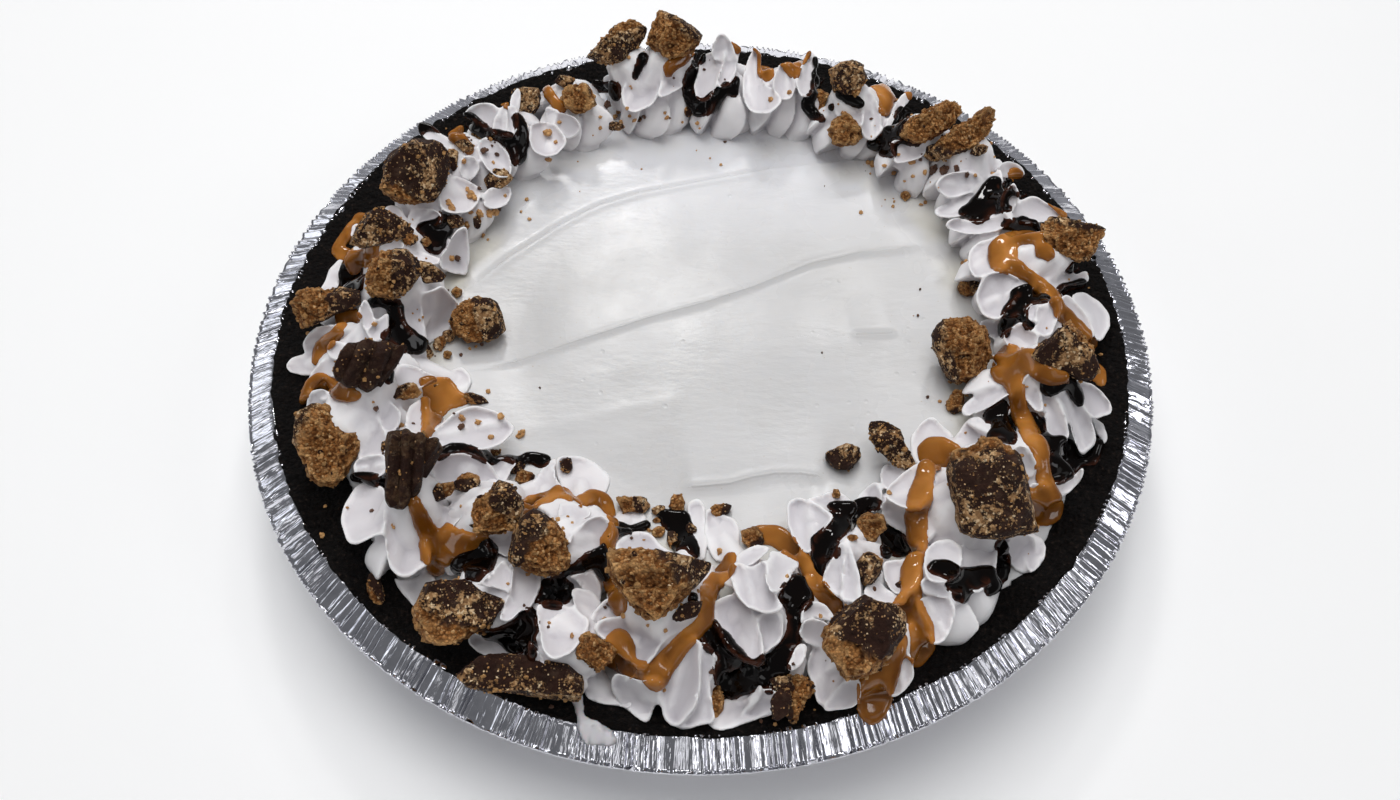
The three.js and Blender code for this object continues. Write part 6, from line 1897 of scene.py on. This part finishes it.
# crumbs: pixel place, size in pixels, kind (0 tan, 1 brown)
CRUMBS = [
    (635, 120, 5, 0), (630, 116, 3.5, 0), (665, 113, 4, 0), (667, 118, 4.5, 0), (698, 123, 4, 0), (606, 105, 8, 1), (600, 117, 4, 0), (593, 97, 5, 0),
    (567, 67, 6, 1), (590, 68, 4, 0), (789, 93, 5, 0), (844, 113, 6, 0), (898, 155, 4, 0), (872, 165, 6, 0), (885, 166, 5, 0), (912, 161, 8, 0), (920, 159, 5, 1),
    (945, 171, 9, 1), (957, 169, 7, 1), (967, 174, 6, 1), (975, 175, 3.5, 0), (547, 133, 8, 0), (548, 159, 6, 0), (497, 155, 6, 1), (483, 152, 8, 1), (492, 146, 3, 1),
    (493, 163, 4, 0), (463, 161, 5, 0), (524, 127, 7, 0), (467, 190, 6, 0), (470, 196, 9, 0), (475, 199, 7, 0), (479, 189, 5, 1), (448, 203, 6, 0), (452, 209, 8, 0),
    (440, 213, 6, 1), (494, 172, 4, 0), (488, 214, 8, 0), (494, 212, 7, 0), (499, 209, 8, 1), (479, 214, 8, 0), (470, 212, 6, 0), (482, 235, 5, 0), (488, 240, 3, 0),
    (527, 200, 4, 0), (521, 212, 3, 0), (451, 258, 5, 0), (457, 258, 6, 1), (365, 203, 8, 0), (352, 214, 3, 0), (360, 205, 5, 0), (378, 232, 5, 0), (488, 392, 5, 0),
    (376, 408, 6, 1), (402, 427, 6, 0), (413, 424, 3.5, 1), (461, 418, 8, 0), (461, 428, 7, 1), (478, 423, 7, 0), (491, 438, 6.5, 0), (501, 417, 7, 0), (521, 435, 9, 0),
    (454, 414, 3.5, 1), (307, 483, 4, 0), (307, 491, 4, 0), (325, 507, 5, 0), (318, 513, 4, 0), (322, 536, 6, 0), (966, 433, 3, 0), (982, 437, 3, 0), (1027, 477, 6, 0),
    (1022, 471, 3.5, 0), (820, 617, 4.5, 0), (835, 494, 7, 0), (787, 577, 5, 0), (868, 163, 5, 0), (893, 172, 5, 0), (905, 181, 3.5, 0), (913, 176, 4, 0), (925, 172, 6, 0),
    (935, 170, 9, 1), (921, 205, 4, 0), (925, 203, 4.5, 0), (918, 316, 3.5, 1), (461, 355, 4, 1), (470, 349, 3.5, 0), (482, 345, 4, 1), (476, 347, 3, 0), (966, 395, 6, 0),
    (605, 618, 4, 0), (637, 612, 4.5, 0), (665, 630, 5, 0), (648, 625, 4, 0), (563, 529, 4, 0), (572, 523, 3, 0), (449, 528, 6, 0), (720, 552, 7, 0), (605, 607, 4, 1),
    (609, 604, 5, 1), (649, 531, 5, 0), (682, 524, 5, 0), (674, 534, 6, 0), (631, 538, 4, 1), (540, 388, 2.5, 1), (822, 353, 2.5, 1), (600, 128, 4, 0), (622, 122, 5, 0),
    (645, 117, 5, 1), (618, 113, 5, 0), (627, 109, 4, 0), (615, 118, 6, 0), (682, 122, 3, 0), (700, 128, 3, 0), (560, 122, 4, 0), (505, 196, 4, 0), (775, 725, 4, 0), (333, 448, 4, 0),
]


def scatter(records, seed):
    rng = np.random.default_rng(seed)
    out = {0: [], 1: []}
    for px, py, size, kind in records:
        hit = cast(px, py)
        if hit is None:
            continue
        P, N, depth, _ray = hit
        r = size * depth / CAM_F / 2
        D, F = ICO[2 if size > 6.5 else 1]
        sc = rng.uniform(0.72, 1.15, 3)
        sc[2] *= 0.85
        W = D * (1 + 0.45 * vnoise(D * 3 + rng.uniform(0, 90, 3), 1.5, seed))[:, None] * sc[None] * r
        R = np.array(Euler(rng.uniform(0, 6.28, 3).tolist()).to_matrix())
        out[kind].append((W @ R.T + P + N * r * 0.45, F))
    return out


def random_crumbs(count, seed):
    """small crumbs round the ring, more of them next to the pieces"""
    rng = np.random.default_rng(seed)
    rec = []
    centres = [(c[1], c[2]) for c in CUPS]
    for _ in range(count):
        if rng.random() < 0.62:
            cx, cy = centres[rng.integers(len(centres))]
            a, d = rng.uniform(0, 6.28), abs(rng.normal(0, 1)) * 8 + 4
            x, y = cx + d * math.cos(a), cy + d * math.sin(a)
        else:
            a, d = rng.uniform(0, 6.28), rng.normal(82, 13)
            x, y = d * math.cos(a), d * math.sin(a)
        if math.hypot(x, y) > 106 or math.hypot(x, y) < 56:
            continue
        rec.append((x, y, float(np.clip(rng.lognormal(-0.35, 0.45), 0.3, 1.7)), int(rng.random() < 0.3)))
    out = {0: [], 1: []}
    for x, y, size, kind in rec:
        hit, nor, _i, _d = TREE.ray_cast(Vector((x, y, 120)), Vector((0, 0, -1)))
        if hit is None:
            continue
        P, N = np.array(hit), np.array(nor)
        r = size / 2
        D, F = ICO[1]
        W = D * (1 + 0.45 * vnoise(D * 3 + rng.uniform(0, 90, 3), 1.5, seed))[:, None] * rng.uniform(0.6, 1.15, 3)[None] * r
        out[kind].append((W + P + N * r * 0.4, F))
    return out


M_TAN = crumb_material("tan_crumb", (0.34, 0.155, 0.05), (0.64, 0.37, 0.15), 0.6)
M_BROWN = crumb_material("brown_crumb", (0.045, 0.018, 0.010), (0.14, 0.065, 0.035), 0.5)
A, B = scatter(CRUMBS, 41), random_crumbs(330, 42)
for kind, nm, mat in ((0, "tan_crumbs", M_TAN), (1, "brown_crumbs", M_BROWN)):
    V, F, n = [], [], 0
    for W, f in A[kind] + B[kind]:
        V.append(W); F.append(f + n)
        n += len(W)
    finish_piece(make(nm, np.concatenate(V), np.concatenate(F), smooth=False), mat)
print("crumbs", round(time.time() - T0, 1))

# ------------------------------------------------------------------ floor, light
bpy.ops.mesh.primitive_plane_add(size=4, location=(0, 0, -0.0002))
floor = bpy.context.object
floor.name = "floor"
mf, nt, p, co = new_material("floor")
p.inputs["Base Color"].default_value = (0.98, 0.98, 0.98, 1)
p.inputs["Roughness"].default_value = 0.7
floor.data.materials.append(mf)

world = bpy.data.worlds.new("world")
scene.world = world
world.use_nodes = True
wt = world.node_tree
bg = wt.nodes["Background"]
bg.inputs["Color"].default_value = (0.94, 0.96, 1.0, 1)
# a dim room with a pale band low behind and beside the pie
tc = wt.nodes.new("ShaderNodeTexCoord")
sep = wt.nodes.new("ShaderNodeSeparateXYZ")
wt.links.new(tc.outputs["Generated"], sep.inputs[0])
low = wt.nodes.new("ShaderNodeMapRange")
low.interpolation_type = "SMOOTHSTEP"
for key, val in (("From Min", 0.25), ("From Max", 0.60), ("To Min", 1.0), ("To Max", 0.0)):
    low.inputs[key].default_value = val
wt.links.new(sep.outputs["Z"], low.inputs["Value"])
behind = wt.nodes.new("ShaderNodeMapRange")
behind.interpolation_type = "SMOOTHSTEP"
for key, val in (("From Min", -0.5), ("From Max", 0.4), ("To Min", 0.0), ("To Max", 1.0)):
    behind.inputs[key].default_value = val
wt.links.new(sep.outputs["Y"], behind.inputs["Value"])
both = wt.nodes.new("ShaderNodeMath")
both.operation = "MULTIPLY"
wt.links.new(low.outputs["Result"], both.inputs[0])
wt.links.new(behind.outputs["Result"], both.inputs[1])
level = wt.nodes.new("ShaderNodeMath")
level.operation = "MULTIPLY_ADD"
level.inputs[1].default_value = 0.14
level.inputs[2].default_value = 0.14
wt.links.new(both.outputs[0], level.inputs[0])
wt.links.new(level.outputs[0], bg.inputs["Strength"])


def area(name, loc, target, size, energy, color=(1, 1, 1), size_y=None):
    L = bpy.data.lights.new(name, "AREA")
    L.energy = energy
    L.color = color
    L.size = size
    if size_y:
        L.shape = "RECTANGLE"
        L.size_y = size_y
    o = bpy.data.objects.new(name, L)
    o.location = loc
    o.rotation_euler = (Vector(target) - Vector(loc)).to_track_quat("-Z", "Y").to_euler()
    scene.collection.objects.link(o)
    return o


area("pane_a", (-0.10, 0.80, 0.92), (0, 0, 0.03), 0.17, 1.8, (1, 0.99, 0.98), 0.11)
area("pane_b", (0.20, 0.78, 0.92), (0, 0, 0.03), 0.10, 0.8, (1, 0.99, 0.98), 0.11)
# the broad light overhead only lights; what shows as highlights are the window panes and the small lights
area("top", (-0.05, 0.22, 1.2), (0, 0, 0.03), 0.9, 9.8).visible_glossy = False
area("spark", (0.155, -0.27, 1.19), (0, 0, 0.03), 0.22, 0.8)
area("left", (-1.13, 0.26, 0.50), (0, 0, 0.03), 0.65, 0.75, (0.93, 0.96, 1.0), 0.33)
area("right", (0.878, -0.391, 0.78), (0, 0, 0.03), 0.34, 1.1, (0.96, 0.97, 1.0), 0.34)
area("front_high", (0.37, -0.64, 0.98), (0, 0, 0.03), 0.60, 0.40, (1, 1, 1), 0.30)
area("front_low", (-0.31, -1.15, 0.42), (0, 0, 0.03), 0.65, 0.5, (1, 1, 1), 0.33)
area("left_front", (-0.95, -0.50, 0.50), (0, 0, 0.03), 0.20, 0.5, (1, 1, 1), 0.4)

scene.view_settings.view_transform = "Standard"
scene.view_settings.look = "None"

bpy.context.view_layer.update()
tris = {o.name: sum(len(pp.vertices) - 2 for pp in o.data.polygons) for o in bpy.data.objects if o.type == "MESH" and o.data.users and not o.hide_render}
big = sorted(tris.items(), key=lambda kv: -kv[1])
print("triangles", sum(tris.values()), big[:8])
print("total", round(time.time() - T0, 1))
